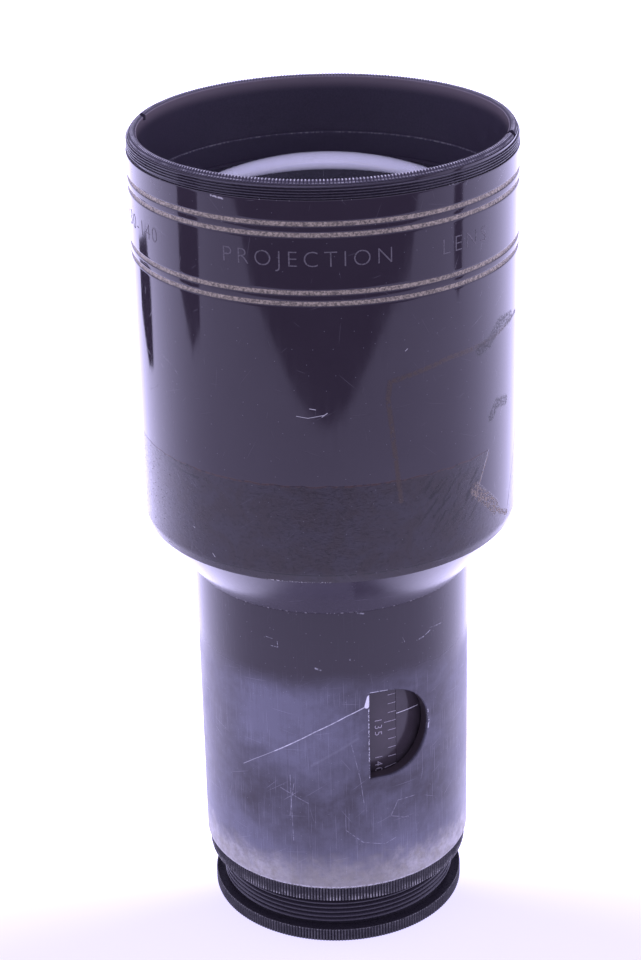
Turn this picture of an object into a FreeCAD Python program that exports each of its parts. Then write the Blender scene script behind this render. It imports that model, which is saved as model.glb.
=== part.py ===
"""A variable-focus projection lens: a large lacquered front housing, a short shoulder cone and a
slimmer rear barrel.  A lens carriage slides in the barrel, driven by a knurled focal ring on a
threaded tube, and a knurled lock ring jams that thread.  A D-shaped window in the barrel shows a
fixed scale and the index line of the sliding sleeve.

Millimetres.  The lens stands on its rear ring: Z runs up its axis towards the front glass, and
the reading window faces -Y.  Azimuths are in degrees from -Y, positive towards +X.
"""
import FreeCAD, Part

import math
import os

# ---------------------------------------------------------------- driving dimensions
RUN = 0.05                      # radial running clearance
THREAD_PITCH = 1.2              # spacing of the focal thread's ridges
THREAD_DEPTH = 0.65
FINE_PITCH = 0.58               # accessory thread at the front
FINE_DEPTH = 0.35

# rear barrel
BARREL_R = 31.25
BARREL_BORE_R = 28.25
BARREL_Z0 = 15.4
BARREL_Z1 = 87.0
NUT_TOP_Z = 22.0                # the rear end of the barrel is the nut of the focal thread
SPIGOT_R = 30.2
SPIGOT_TOP_Z = 92.9

# shoulder cone and front housing
CONE_TOP_R = 40.7
HOUSING_Z0 = 99.6
HOUSING_R = 42.0
HOUSING_FOOT_R = 41.4
HOUSING_CHAMFER_Z = 101.8
HOUSING_BORE_R = 40.45
HOUSING_FLOOR_Z = 104.0
HOUSING_LIP_R = 38.2
LACQUER_TOP_Z = 184.35
HOUSING_Z1 = 187.25
FINE_CREST_R = 41.85
GROOVE_Z = (162.67, 165.0, 177.15, 179.45)
GROOVE_WIDTH = 1.2
GROOVE_DEPTH = 0.25

# front ring
FRONT_RING_R = 41.3
FRONT_RING_BORE_R = 39.57
FRONT_RING_TOP_Z = 188.3        # the knurled bevels meet in a ridge along the ring
FRONT_RING_RIDGE_R = (40.35, 40.7)
FRONT_RING_LIP_Z = 187.8
FRONT_RING_EDGE_Z = 187.65
FRONT_RING_TEETH = 351
SPANNER_SLOT_AZ = 47.7
SPANNER_SLOT_WIDTH = 1.8
SPANNER_SLOT_DEPTH = 1.6

# front cell
CELL_R = 40.4
CELL_TOP_Z = 174.9
CELL_BOTTOM_Z = 122.0
CELL_BORE_R = 39.05
CELL_SEAT_Z = 155.0
CELL_SEAT_R = 37.4
CELL_SEAT_LAND = 3.0
CELL_WAIST_R = 37.9
CELL_STEP_Z = 139.0             # the baffle ring bears on this step
CELL_SOCKET_R = 38.9

# front doublet
FRONT_GLASS_R = 38.95
FRONT_CURVE = 67.5
FRONT_VERTEX_Z = 179.0
FRONT_CEMENT_CURVE = 120.0
FRONT_CEMENT_VERTEX_Z = 159.0
FRONT_CLAMP_BORE_R = 37.2
FRONT_CLAMP_THICKNESS = 2.0

# baffle between the front doublets, and its spacer
BAFFLE_BORE_R = 33.0
BAFFLE_TIP_Z = 138.6
BAFFLE_FOOT_Z = 136.6
SPACER_BORE_R = 37.6

# second doublet, in its own cell under the front cell
SECOND_GLASS_R = 31.5
SECOND_SEAT_Z = 107.0
SECOND_CURVE = 90.0
SECOND_TOP_EDGE_Z = 118.5
SECOND_CEMENT_CURVE = 100.0
SECOND_CEMENT_EDGE_Z = 115.5
SECOND_CELL_BORE_R = 29.6
SECOND_CELL_WELL_R = (34.0, 38.0)
SECOND_CELL_WELL_Z = 110.0
SECOND_CLAMP_BORE_R = 29.9
CONE_THROAT_R = 28.4

# reading window and scale
WINDOW_Z = 55.2
WINDOW_R = 11.0
WINDOW_LEFT_X = -7.51
WINDOW_CENTRE_X = -3.48
SCALE_R = 27.4                  # the scale strip and the index sleeve are flush with each other
KEY_AZ = (-22.3, 1.6)
KEY_RIB_AZ = (-22.3, -14.6)
KEY_Z = (41.0, 68.5)
KEY_INNER_R = 25.15
KEY_SCREW_AZ = -18.4
KEY_SCREW_Z = (47.0, 63.0)
KEY_SINK_FLOOR_R = 26.3         # the screw heads sit in sinks in the strip's inner face
KEY_HEAD_R = 1.35
KEY_SCREW_TIP_R = 29.8

# sliding carriage
CARRIER_R = 25.0
CARRIER_BORE_R = 23.4
CARRIER_Z = (0.6, 84.5)
CARRIER_LIP_R = 21.8
CARRIER_LIP_Z = 82.5
SLEEVE_Z0 = 33.0
SLEEVE_SLOT_TOP_Z = 81.6
SLEEVE_LAND_Z = 82.0
SLEEVE_SCREW_AZ = (110.0, 180.0, 250.0)
SLEEVE_SCREW_Z = 40.0
SLEEVE_SINK_FLOOR_R = 26.3
SLEEVE_HEAD_R = 1.4
SCREW_SHANK_R = 0.75            # both kinds of screw
SCREW_HOLE_R = 0.8

# rear lens group, in the carriage
REAR_GLASS_R = 23.35
REAR_CURVE = 60.0
REAR_CEMENT_CURVE = 80.0
REAR_CEMENT_EDGE_Z = 76.5
REAR_FLINT_Z = 70.0
FIELD_Z = (12.0, 21.0)
FIELD_CURVES = (120.0, 70.0)
REAR_SPACER_BORE_R = 22.0
REAR_CLAMP_BORE_R = 21.5
REAR_CLAMP_THICKNESS = 3.0
CLAMP_CHAMFER = 0.2             # every ring that clamps a lens
CLAMP_SLOT_WIDTH = 1.6

# focal ring, lock ring and thrust ring
FOCAL_RING_R = 29.65
FOCAL_RING_TOP_Z = 3.1
FOCAL_RING_TEETH = 258
FOCAL_TUBE_TOP_Z = 32.9
THREAD_CREST_R = 27.6
RELIEF_TOP_Z = 3.55
COUNTERBORE_R = 26.9
COUNTERBORE_Z = 2.2
LOCK_RING_R = 30.63
LOCK_RING_Z = (11.86, 15.25)
LOCK_RING_TEETH = 264

TOOTH_DEPTH = 0.3


# ---------------------------------------------------------------- helpers
def vec(r, z):
    """A point of a turned profile: radius along +X, height along Z."""
    return FreeCAD.Vector(r, 0, z)


def turned(points):
    """Solid of revolution about Z of a closed profile of (radius, height) corners."""
    corners = [vec(r, z) for r, z in points]
    face = Part.Face(Part.makePolygon(corners + corners[:1]))
    return face.revolve(FreeCAD.Vector(0, 0, 0), FreeCAD.Vector(0, 0, 1), 360)


def tube(inner_r, outer_r, z0, z1, chamfer=0.0):
    """Plain ring with chamfered outer edges."""
    if chamfer == 0.0:
        return turned([(inner_r, z0), (outer_r, z0), (outer_r, z1), (inner_r, z1)])
    return turned([(inner_r, z0), (outer_r - chamfer, z0), (outer_r, z0 + chamfer),
                   (outer_r, z1 - chamfer), (outer_r - chamfer, z1), (inner_r, z1)])


def threaded(crest_r, depth, pitch, z0, z1):
    """Outline of a male thread drawn as ridges: corners from z0 up to z1."""
    count = round((z1 - z0) / pitch - 0.45)
    points = []
    for i in range(count):
        z = z0 + i * pitch
        points.append((crest_r - depth, z + 0.10 * pitch))
        points.append((crest_r, z + 0.45 * pitch))
        points.append((crest_r, z + 0.65 * pitch))
        points.append((crest_r - depth, z + pitch))
    return points


def grooved(outer_r, centres, width, depth):
    """Outline of V-bottomed engraved grooves in a cylinder, from the lowest up."""
    points = []
    for z in centres:
        points.append((outer_r, z - width / 2))
        points.append((outer_r - depth, z - width / 4))
        points.append((outer_r - depth, z + width / 4))
        points.append((outer_r, z + width / 2))
    return points


def toothed_corners(tip_r, count, z, depth):
    """Corners of V-shaped teeth at one height."""
    corners = []
    for i in range(2 * count):
        angle = math.pi * i / count
        r = tip_r - depth * (i % 2)
        corners.append(FreeCAD.Vector(r * math.cos(angle), r * math.sin(angle), z))
    return corners


def closed(corners):
    """Flat face inside a loop of corners."""
    return Part.Face(Part.makePolygon(corners + corners[:1]))


def toothed(rows, count):
    """A toothed disc from (tip radius, height) rows: a straight knurl that may lean inward.

    A tooth's depth goes with the radius, which keeps every face of a leaning tooth flat.
    """
    depth_share = TOOTH_DEPTH / rows[0][0]
    loops = [toothed_corners(tip_r, count, z, tip_r * depth_share) for tip_r, z in rows]
    faces = [closed(loops[0]), closed(loops[-1])]
    for lower, upper in zip(loops, loops[1:]):
        for i in range(2 * count):
            k = (i + 1) % (2 * count)
            faces.append(closed([lower[i], lower[k], upper[k], upper[i]]))
    return Part.Solid(Part.Shell(faces))


def radial(azimuth):
    """Unit vector that points outward at an azimuth measured from -Y towards +X."""
    angle = math.radians(azimuth)
    return FreeCAD.Vector(math.sin(angle), -math.cos(angle), 0)


def radial_cylinder(azimuth, z, r0, r1, radius):
    """Cylinder along a radius of the lens, from r0 out to r1."""
    out = radial(azimuth)
    base = out * r0 + FreeCAD.Vector(0, 0, z)
    return Part.makeCylinder(radius, r1 - r0, base, out)


def radial_slots(azimuths, width, r0, r1, z0, z1):
    """Cutters for spanner slots that run along a radius."""
    cutters = []
    for azimuth in azimuths:
        box = Part.makeBox(width, r1 - r0, z1 - z0, FreeCAD.Vector(-width / 2, -r1, z0))
        box.rotate(FreeCAD.Vector(0, 0, 0), FreeCAD.Vector(0, 0, 1), azimuth)
        cutters.append(box)
    return cutters


def sector(inner_r, outer_r, z0, z1, azimuths):
    """Part of a ring between two azimuths."""
    start = radial(azimuths[0])
    face = Part.Face(Part.makePolygon([
        start * inner_r + FreeCAD.Vector(0, 0, z0), start * outer_r + FreeCAD.Vector(0, 0, z0),
        start * outer_r + FreeCAD.Vector(0, 0, z1), start * inner_r + FreeCAD.Vector(0, 0, z1),
        start * inner_r + FreeCAD.Vector(0, 0, z0)]))
    return face.revolve(FreeCAD.Vector(0, 0, 0), FreeCAD.Vector(0, 0, 1),
                        azimuths[1] - azimuths[0])


def sag(curve, r):
    """Depth of a sphere of radius |curve| at distance r from its vertex; its sign is curve's."""
    return math.copysign(abs(curve) - math.sqrt(curve * curve - r * r), curve)


def surface(curve, edge_r, edge_z):
    """Half outline of a lens face that meets its rim at (edge_r, edge_z).

    The face is flat when curve is 0, bulges up when it is positive and down when negative.
    """
    if curve == 0:
        return Part.LineSegment(vec(0, edge_z), vec(edge_r, edge_z)).toShape()

    def point(r):
        return vec(r, edge_z + sag(curve, edge_r) - sag(curve, r))
    return Part.Arc(point(0), point(edge_r / 2), point(edge_r)).toShape()


def lens(edge_r, top_z, top_curve, bottom_z, bottom_curve):
    """Round lens: rim from bottom_z to top_z; positive curves bulge up, negative ones down."""
    top = surface(top_curve, edge_r, top_z)
    bottom = surface(bottom_curve, edge_r, bottom_z)
    rim = Part.LineSegment(vec(edge_r, bottom_z), vec(edge_r, top_z)).toShape()
    top_centre = min((v.Point for v in top.Vertexes), key=lambda p: p.x)
    bottom_centre = min((v.Point for v in bottom.Vertexes), key=lambda p: p.x)
    axis = Part.LineSegment(bottom_centre, top_centre).toShape()
    wire = Part.Wire(Part.__sortEdges__([top, rim, bottom, axis]))
    return Part.Face(wire).revolve(FreeCAD.Vector(0, 0, 0), FreeCAD.Vector(0, 0, 1), 360)


def retainer(inner_r, outer_r, z0, z1, slots_on_top):
    """Threaded ring that clamps a lens, with two spanner slots."""
    body = tube(inner_r, outer_r, z0, z1, CLAMP_CHAMFER)
    depth = 0.5 * (z1 - z0)
    slot_z = (z1 - depth, z1 + 1) if slots_on_top else (z0 - 1, z0 + depth)
    return body.cut(radial_slots((90, 270), CLAMP_SLOT_WIDTH, inner_r - 1, outer_r - 0.5, *slot_z))


# ---------------------------------------------------------------- front half
def front_housing():
    """Large lacquered tube with four engraved lines and the accessory thread at its mouth."""
    points = [(HOUSING_LIP_R, HOUSING_Z0), (HOUSING_FOOT_R, HOUSING_Z0),
              (HOUSING_R, HOUSING_CHAMFER_Z)]
    points += grooved(HOUSING_R, GROOVE_Z, GROOVE_WIDTH, GROOVE_DEPTH)
    points += [(HOUSING_R, LACQUER_TOP_Z - 0.15), (HOUSING_R - 0.15, LACQUER_TOP_Z)]
    thread = threaded(FINE_CREST_R, FINE_DEPTH, FINE_PITCH, LACQUER_TOP_Z, HOUSING_Z1)
    points += [(r, z) for r, z in thread if z < HOUSING_Z1]
    points += [(FINE_CREST_R - FINE_DEPTH, HOUSING_Z1), (HOUSING_BORE_R, HOUSING_Z1),
               (HOUSING_BORE_R, HOUSING_FLOOR_Z), (HOUSING_LIP_R, HOUSING_FLOOR_Z)]
    return turned(points)


def front_ring():
    """Ring with a knurled bevel; its skirt screws into the housing and holds the cell down."""
    inner_ridge_r, outer_ridge_r = FRONT_RING_RIDGE_R
    skirt = tube(FRONT_RING_BORE_R, CELL_R, CELL_TOP_Z + RUN, HOUSING_Z1)
    flange = toothed([(FRONT_RING_R, HOUSING_Z1), (FRONT_RING_R, FRONT_RING_EDGE_Z),
                      (outer_ridge_r, FRONT_RING_TOP_Z)], FRONT_RING_TEETH)
    hollow = turned([(0, HOUSING_Z1 - 5), (FRONT_RING_BORE_R, HOUSING_Z1 - 5),
                     (FRONT_RING_BORE_R, FRONT_RING_LIP_Z), (inner_ridge_r, FRONT_RING_TOP_Z),
                     (inner_ridge_r, FRONT_RING_TOP_Z + 1), (0, FRONT_RING_TOP_Z + 1)])
    slots = radial_slots((SPANNER_SLOT_AZ, SPANNER_SLOT_AZ + 180), SPANNER_SLOT_WIDTH,
                         FRONT_RING_BORE_R - 2, FRONT_RING_R + 2,
                         FRONT_RING_TOP_Z - SPANNER_SLOT_DEPTH, FRONT_RING_TOP_Z + 1)
    return flange.cut(hollow).fuse(skirt).removeSplitter().cut(slots)


def front_cell():
    """Long cell that carries the front doublet at its top and the baffle inside."""
    land_z = CELL_SEAT_Z - CELL_SEAT_LAND
    return turned([(CELL_SOCKET_R, CELL_BOTTOM_Z), (CELL_R, CELL_BOTTOM_Z), (CELL_R, CELL_TOP_Z),
                   (CELL_BORE_R, CELL_TOP_Z), (CELL_BORE_R, CELL_SEAT_Z),
                   (CELL_SEAT_R, CELL_SEAT_Z), (CELL_SEAT_R, land_z), (CELL_WAIST_R, land_z - 1),
                   (CELL_WAIST_R, CELL_STEP_Z), (CELL_SOCKET_R, CELL_STEP_Z)])


def front_doublet():
    """Cemented crown and flint; the crown's front is the steep dome seen from the front."""
    crown_edge_z = FRONT_VERTEX_Z - sag(FRONT_CURVE, FRONT_GLASS_R)
    cement_edge_z = FRONT_CEMENT_VERTEX_Z + sag(FRONT_CEMENT_CURVE, FRONT_GLASS_R)
    crown = lens(FRONT_GLASS_R, crown_edge_z, FRONT_CURVE, cement_edge_z, -FRONT_CEMENT_CURVE)
    flint = lens(FRONT_GLASS_R, cement_edge_z, -FRONT_CEMENT_CURVE, CELL_SEAT_Z, 0)
    return crown, flint


def front_lens_retainer():
    """Thin ring that bears on the dome close to its rim."""
    contact_z = FRONT_VERTEX_Z - sag(FRONT_CURVE, FRONT_CLAMP_BORE_R) + 0.03
    return retainer(FRONT_CLAMP_BORE_R, CELL_BORE_R - RUN, contact_z,
                    contact_z + FRONT_CLAMP_THICKNESS, True)


def baffle():
    """Stray-light stop between the two front doublets, and the spacer that holds it up."""
    outer_r = CELL_SOCKET_R - RUN
    stop = turned([(BAFFLE_BORE_R, BAFFLE_TIP_Z), (outer_r, BAFFLE_FOOT_Z),
                   (outer_r, CELL_STEP_Z), (BAFFLE_BORE_R, CELL_STEP_Z)])
    spacer = tube(SPACER_BORE_R, outer_r, CELL_BOTTOM_Z, BAFFLE_FOOT_Z)
    return stop, spacer


def second_cell():
    """Thick cell on the housing's floor, lightened by a groove, that holds the second doublet."""
    wall_r = SECOND_GLASS_R + RUN
    well_r0, well_r1 = SECOND_CELL_WELL_R
    return turned([(SECOND_CELL_BORE_R, HOUSING_FLOOR_Z), (CELL_R, HOUSING_FLOOR_Z),
                   (CELL_R, CELL_BOTTOM_Z), (well_r1, CELL_BOTTOM_Z),
                   (well_r1, SECOND_CELL_WELL_Z), (well_r0, SECOND_CELL_WELL_Z),
                   (well_r0, CELL_BOTTOM_Z), (wall_r, CELL_BOTTOM_Z), (wall_r, SECOND_SEAT_Z),
                   (SECOND_CELL_BORE_R, SECOND_SEAT_Z)])


def second_doublet():
    """Smaller cemented pair."""
    crown = lens(SECOND_GLASS_R, SECOND_TOP_EDGE_Z, SECOND_CURVE,
                 SECOND_CEMENT_EDGE_Z, -SECOND_CEMENT_CURVE)
    flint = lens(SECOND_GLASS_R, SECOND_CEMENT_EDGE_Z, -SECOND_CEMENT_CURVE, SECOND_SEAT_Z, 0)
    return crown, flint


def shoulder_cone():
    """Glossy cone between barrel and housing: a threaded spigot above, a socket below."""
    socket_r = SPIGOT_R + RUN
    return turned([(socket_r, BARREL_Z1), (BARREL_R, BARREL_Z1), (CONE_TOP_R, HOUSING_Z0),
                   (HOUSING_LIP_R - RUN, HOUSING_Z0), (HOUSING_LIP_R - RUN, HOUSING_FLOOR_Z),
                   (SECOND_CELL_WELL_R[0], HOUSING_FLOOR_Z), (CONE_THROAT_R, SPIGOT_TOP_Z + 3.0),
                   (CONE_THROAT_R, SPIGOT_TOP_Z + RUN), (socket_r, SPIGOT_TOP_Z + RUN)])


# ---------------------------------------------------------------- rear half
def window_cutter():
    """D-shaped prism along Y: straight left edge, round right side."""
    y = -BARREL_R - 2
    low, high = WINDOW_Z - WINDOW_R, WINDOW_Z + WINDOW_R

    def at(x, z):
        return FreeCAD.Vector(x, y, z)
    edges = [Part.LineSegment(at(WINDOW_CENTRE_X, low), at(WINDOW_LEFT_X, low)).toShape(),
             Part.LineSegment(at(WINDOW_LEFT_X, low), at(WINDOW_LEFT_X, high)).toShape(),
             Part.LineSegment(at(WINDOW_LEFT_X, high), at(WINDOW_CENTRE_X, high)).toShape(),
             Part.Arc(at(WINDOW_CENTRE_X, high), at(WINDOW_CENTRE_X + WINDOW_R, WINDOW_Z),
                      at(WINDOW_CENTRE_X, low)).toShape()]
    face = Part.Face(Part.Wire(Part.__sortEdges__(edges)))
    return face.extrude(FreeCAD.Vector(0, 10, 0))


def rear_barrel():
    """Barrel with the reading window, the nut at its rear end and a spigot at its front end."""
    nut_r = THREAD_CREST_R + RUN
    body = turned([(nut_r, BARREL_Z0), (BARREL_R - 0.5, BARREL_Z0), (BARREL_R, BARREL_Z0 + 0.5),
                   (BARREL_R, BARREL_Z1), (SPIGOT_R, BARREL_Z1), (SPIGOT_R, SPIGOT_TOP_Z),
                   (BARREL_BORE_R, SPIGOT_TOP_Z), (BARREL_BORE_R, NUT_TOP_Z), (nut_r, NUT_TOP_Z)])
    return body.cut([window_cutter()] + key_screw_holes())


def key_screw_holes():
    """Radial holes for the screws that join the scale key and the barrel."""
    return [radial_cylinder(KEY_SCREW_AZ, z, KEY_SINK_FLOOR_R - 0.3, KEY_SCREW_TIP_R + 0.1,
                            SCREW_HOLE_R) for z in KEY_SCREW_Z]


def scale_key():
    """Fixed strip behind the window that carries the scale and keys the sleeve against turning."""
    strip = sector(KEY_INNER_R, SCALE_R, KEY_Z[0], KEY_Z[1], KEY_AZ)
    rib = sector(SCALE_R - 0.5, BARREL_BORE_R, KEY_Z[0], KEY_Z[1], KEY_RIB_AZ)
    sinks = [radial_cylinder(KEY_SCREW_AZ, z, CARRIER_R - 1, KEY_SINK_FLOOR_R, KEY_HEAD_R + RUN)
             for z in KEY_SCREW_Z]
    return strip.fuse(rib).removeSplitter().cut(key_screw_holes() + sinks)


def scale_key_screws():
    """Two cheese-head screws, driven from inside the barrel."""
    screws = []
    for z in KEY_SCREW_Z:
        head = radial_cylinder(KEY_SCREW_AZ, z, KEY_INNER_R + 0.15, KEY_SINK_FLOOR_R, KEY_HEAD_R)
        shank = radial_cylinder(KEY_SCREW_AZ, z, KEY_SINK_FLOOR_R, KEY_SCREW_TIP_R,
                                SCREW_SHANK_R)
        blade = radial_cylinder(KEY_SCREW_AZ, z, CARRIER_R, KEY_INNER_R + 0.55, KEY_HEAD_R + 0.15)
        level = Part.makeBox(60, 60, 0.4, FreeCAD.Vector(-30, -30, z - 0.2))
        screws.append(head.fuse(shank).cut(blade.common(level)))
    return Part.makeCompound(screws)


def carrier_tube():
    """Inner tube that carries the rear lens group, with a lip at its front end."""
    z0, z1 = CARRIER_Z
    return turned([(CARRIER_BORE_R, z0), (CARRIER_R - 0.3, z0), (CARRIER_R, z0 + 0.3),
                   (CARRIER_R, z1), (CARRIER_LIP_R, z1), (CARRIER_LIP_R, CARRIER_LIP_Z),
                   (CARRIER_BORE_R, CARRIER_LIP_Z)]).cut(sleeve_screw_holes())


def sleeve_screw_holes():
    """Radial holes for the screws that join sleeve and carrier."""
    return [radial_cylinder(a, SLEEVE_SCREW_Z, CARRIER_R - 1, SCALE_R + 1, SCREW_HOLE_R)
            for a in SLEEVE_SCREW_AZ]


def index_sleeve():
    """Sleeve with the index line; its slot rides on the scale key and its land in the bore."""
    z1 = CARRIER_Z[1]
    body = turned([(CARRIER_R, SLEEVE_Z0), (SCALE_R, SLEEVE_Z0), (SCALE_R, SLEEVE_LAND_Z),
                   (BARREL_BORE_R - RUN, SLEEVE_LAND_Z), (BARREL_BORE_R - RUN, z1),
                   (CARRIER_R, z1)])
    slot = sector(CARRIER_R - 1, SCALE_R + 2, SLEEVE_Z0 - 1, SLEEVE_SLOT_TOP_Z,
                  (KEY_AZ[0] - 0.2, KEY_AZ[1] + 0.2))
    sinks = [radial_cylinder(a, SLEEVE_SCREW_Z, SLEEVE_SINK_FLOOR_R, SCALE_R + 1,
                             SLEEVE_HEAD_R + RUN) for a in SLEEVE_SCREW_AZ]
    return body.cut([slot] + sinks + sleeve_screw_holes())


def index_sleeve_screws():
    """Three screws that fix the sleeve to the carrier."""
    screws = []
    for azimuth in SLEEVE_SCREW_AZ:
        head = radial_cylinder(azimuth, SLEEVE_SCREW_Z, SLEEVE_SINK_FLOOR_R, SCALE_R - 0.2,
                               SLEEVE_HEAD_R)
        shank = radial_cylinder(azimuth, SLEEVE_SCREW_Z, CARRIER_R - 0.9, SLEEVE_SINK_FLOOR_R,
                                SCREW_SHANK_R)
        screws.append(head.fuse(shank))
    return Part.makeCompound(screws)


def rear_group():
    """Cemented pair under the carrier's lip, a spacer and a biconcave field lens."""
    top_edge_z = CARRIER_LIP_Z + sag(REAR_CURVE, CARRIER_LIP_R) - sag(REAR_CURVE, REAR_GLASS_R)
    crown = lens(REAR_GLASS_R, top_edge_z, REAR_CURVE, REAR_CEMENT_EDGE_Z, -REAR_CEMENT_CURVE)
    flint = lens(REAR_GLASS_R, REAR_CEMENT_EDGE_Z, -REAR_CEMENT_CURVE, REAR_FLINT_Z, 0)
    spacer = tube(REAR_SPACER_BORE_R, REAR_GLASS_R, FIELD_Z[1], REAR_FLINT_Z)
    field = lens(REAR_GLASS_R, FIELD_Z[1], -FIELD_CURVES[1], FIELD_Z[0], FIELD_CURVES[0])
    clamp = retainer(REAR_CLAMP_BORE_R, CARRIER_BORE_R - RUN / 2,
                     FIELD_Z[0] - REAR_CLAMP_THICKNESS, FIELD_Z[0], False)
    return crown, flint, spacer, field, clamp


def focal_ring():
    """Knurled flange at the rear with the long threaded tube that drives the carriage."""
    bore_r = CARRIER_R + RUN
    root_r = THREAD_CREST_R - THREAD_DEPTH
    foot_r = FOCAL_RING_R - TOOTH_DEPTH - 0.1
    points = [(COUNTERBORE_R, 0), (foot_r, 0), (foot_r, FOCAL_RING_TOP_Z - 0.3),
              (foot_r - 0.8, FOCAL_RING_TOP_Z), (root_r, FOCAL_RING_TOP_Z),
              (root_r, RELIEF_TOP_Z)]
    points += threaded(THREAD_CREST_R, THREAD_DEPTH, THREAD_PITCH, RELIEF_TOP_Z,
                       FOCAL_TUBE_TOP_Z)
    points += [(root_r, FOCAL_TUBE_TOP_Z), (bore_r, FOCAL_TUBE_TOP_Z),
               (bore_r, COUNTERBORE_Z), (COUNTERBORE_R, COUNTERBORE_Z)]
    teeth = toothed([(FOCAL_RING_R, 0), (FOCAL_RING_R, FOCAL_RING_TOP_Z - 0.2)],
                    FOCAL_RING_TEETH)
    hole = Part.makeCylinder(foot_r - 0.6, 10, FreeCAD.Vector(0, 0, -5))
    return turned(points).fuse(teeth.cut(hole)).removeSplitter()


def lock_ring():
    """Knurled ring that is screwed against the barrel's end to hold the setting."""
    z0, z1 = LOCK_RING_Z
    bore = Part.makeCylinder(THREAD_CREST_R + RUN, z1 - z0 + 2, FreeCAD.Vector(0, 0, z0 - 1))
    return toothed([(LOCK_RING_R, z0), (LOCK_RING_R, z1)], LOCK_RING_TEETH).cut(bore)


def thrust_ring():
    """Ring on the carrier's rear end that keeps the focal ring on it, with spanner slots."""
    return retainer(CARRIER_R, COUNTERBORE_R - RUN, CARRIER_Z[0], COUNTERBORE_Z - RUN, False)


# ---------------------------------------------------------------- write the parts
def parts():
    """Every sub-part by name."""
    front_crown, front_flint = front_doublet()
    second_crown, second_flint = second_doublet()
    stop, front_spacer = baffle()
    rear_crown, rear_flint, rear_spacer, field, rear_clamp = rear_group()
    return {
        "front_housing": front_housing(),
        "front_ring": front_ring(),
        "front_cell": front_cell(),
        "front_crown_lens": front_crown,
        "front_flint_lens": front_flint,
        "front_lens_retainer": front_lens_retainer(),
        "baffle_ring": stop,
        "front_spacer_tube": front_spacer,
        "second_cell": second_cell(),
        "second_crown_lens": second_crown,
        "second_flint_lens": second_flint,
        "second_lens_retainer": retainer(SECOND_CLAMP_BORE_R, SECOND_GLASS_R,
                                         SECOND_TOP_EDGE_Z + 0.6, CELL_BOTTOM_Z - 0.5, True),
        "shoulder_cone": shoulder_cone(),
        "rear_barrel": rear_barrel(),
        "scale_key": scale_key(),
        "scale_key_screws": scale_key_screws(),
        "carrier_tube": carrier_tube(),
        "index_sleeve": index_sleeve(),
        "index_sleeve_screws": index_sleeve_screws(),
        "rear_crown_lens": rear_crown,
        "rear_flint_lens": rear_flint,
        "rear_spacer_tube": rear_spacer,
        "rear_field_lens": field,
        "rear_lens_retainer": rear_clamp,
        "thrust_ring": thrust_ring(),
        "focal_ring": focal_ring(),
        "lock_ring": lock_ring(),
    }


def main():
    os.makedirs("parts", exist_ok=True)
    for name, shape in parts().items():
        box = shape.BoundBox
        print(f"{name:22s} valid {shape.isValid()} solids {len(shape.Solids)} "
              f"volume {shape.Volume:9.1f} z {box.ZMin:6.2f} to {box.ZMax:6.2f} "
              f"x {box.XMin:6.2f} to {box.XMax:6.2f}")
        shape.exportStep(f"parts/{name}.step")


main()
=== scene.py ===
"""Looks of the variable-focus projection lens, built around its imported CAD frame.

The mesh code works in millimetres and turns them into metres as it writes the vertices.  The lens
axis is Z; azimuths are degrees from -Y, positive towards +X; an arc is a length round a cylinder,
measured from -Y.
"""
import math

import bmesh
import bpy
import numpy as np
from mathutils import Matrix, Vector


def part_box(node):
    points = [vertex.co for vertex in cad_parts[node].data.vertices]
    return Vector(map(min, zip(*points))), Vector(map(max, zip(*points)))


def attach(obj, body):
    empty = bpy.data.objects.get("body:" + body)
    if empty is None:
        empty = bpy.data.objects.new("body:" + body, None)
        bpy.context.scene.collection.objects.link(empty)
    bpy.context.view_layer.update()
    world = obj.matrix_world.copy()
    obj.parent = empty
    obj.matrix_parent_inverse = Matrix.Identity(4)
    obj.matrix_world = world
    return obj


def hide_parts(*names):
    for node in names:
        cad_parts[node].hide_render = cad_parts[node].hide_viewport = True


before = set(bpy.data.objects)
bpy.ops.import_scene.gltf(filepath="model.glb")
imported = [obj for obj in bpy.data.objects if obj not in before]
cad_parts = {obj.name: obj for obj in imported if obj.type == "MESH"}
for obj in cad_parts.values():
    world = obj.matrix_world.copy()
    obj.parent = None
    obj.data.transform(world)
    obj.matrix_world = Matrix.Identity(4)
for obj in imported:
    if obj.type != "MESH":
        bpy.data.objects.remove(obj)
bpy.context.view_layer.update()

MM = 0.001


# ---------------------------------------------------------------- sizes, from the frame
def low(node):
    """Lowest height of a CAD node."""
    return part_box(node)[0].z / MM


def high(node):
    """Highest height of a CAD node."""
    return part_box(node)[1].z / MM


def reach(node):
    """Outer radius of a turned CAD node."""
    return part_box(node)[1].x / MM


HOUSING_R = reach("front_housing")
HOUSING_Z0 = low("front_housing")
HOUSING_Z1 = high("front_housing")
HOUSING_FLOOR_Z = low("second_cell")
CELL_R = reach("front_cell")
CELL_TOP_Z = high("front_cell")
RING_R = reach("front_ring")
RING_TOP_Z = high("front_ring")
GLASS_R = reach("front_crown_lens")
GLASS_TOP_Z = high("front_crown_lens")
CEMENT_Z = low("front_crown_lens")
FLINT_Z0 = low("front_flint_lens")
CONE_Z0 = low("shoulder_cone")
BARREL_R = reach("rear_barrel")
BARREL_Z0 = low("rear_barrel")
SPIGOT_TOP_Z = high("rear_barrel")
SCALE_R = 27.4
LOCK_R = reach("lock_ring")
LOCK_Z0 = low("lock_ring")
LOCK_Z1 = high("lock_ring")
FOCAL_R = reach("focal_ring")
FOCAL_TUBE_Z = high("focal_ring")
CARRIER_R = reach("carrier_tube")

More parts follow.
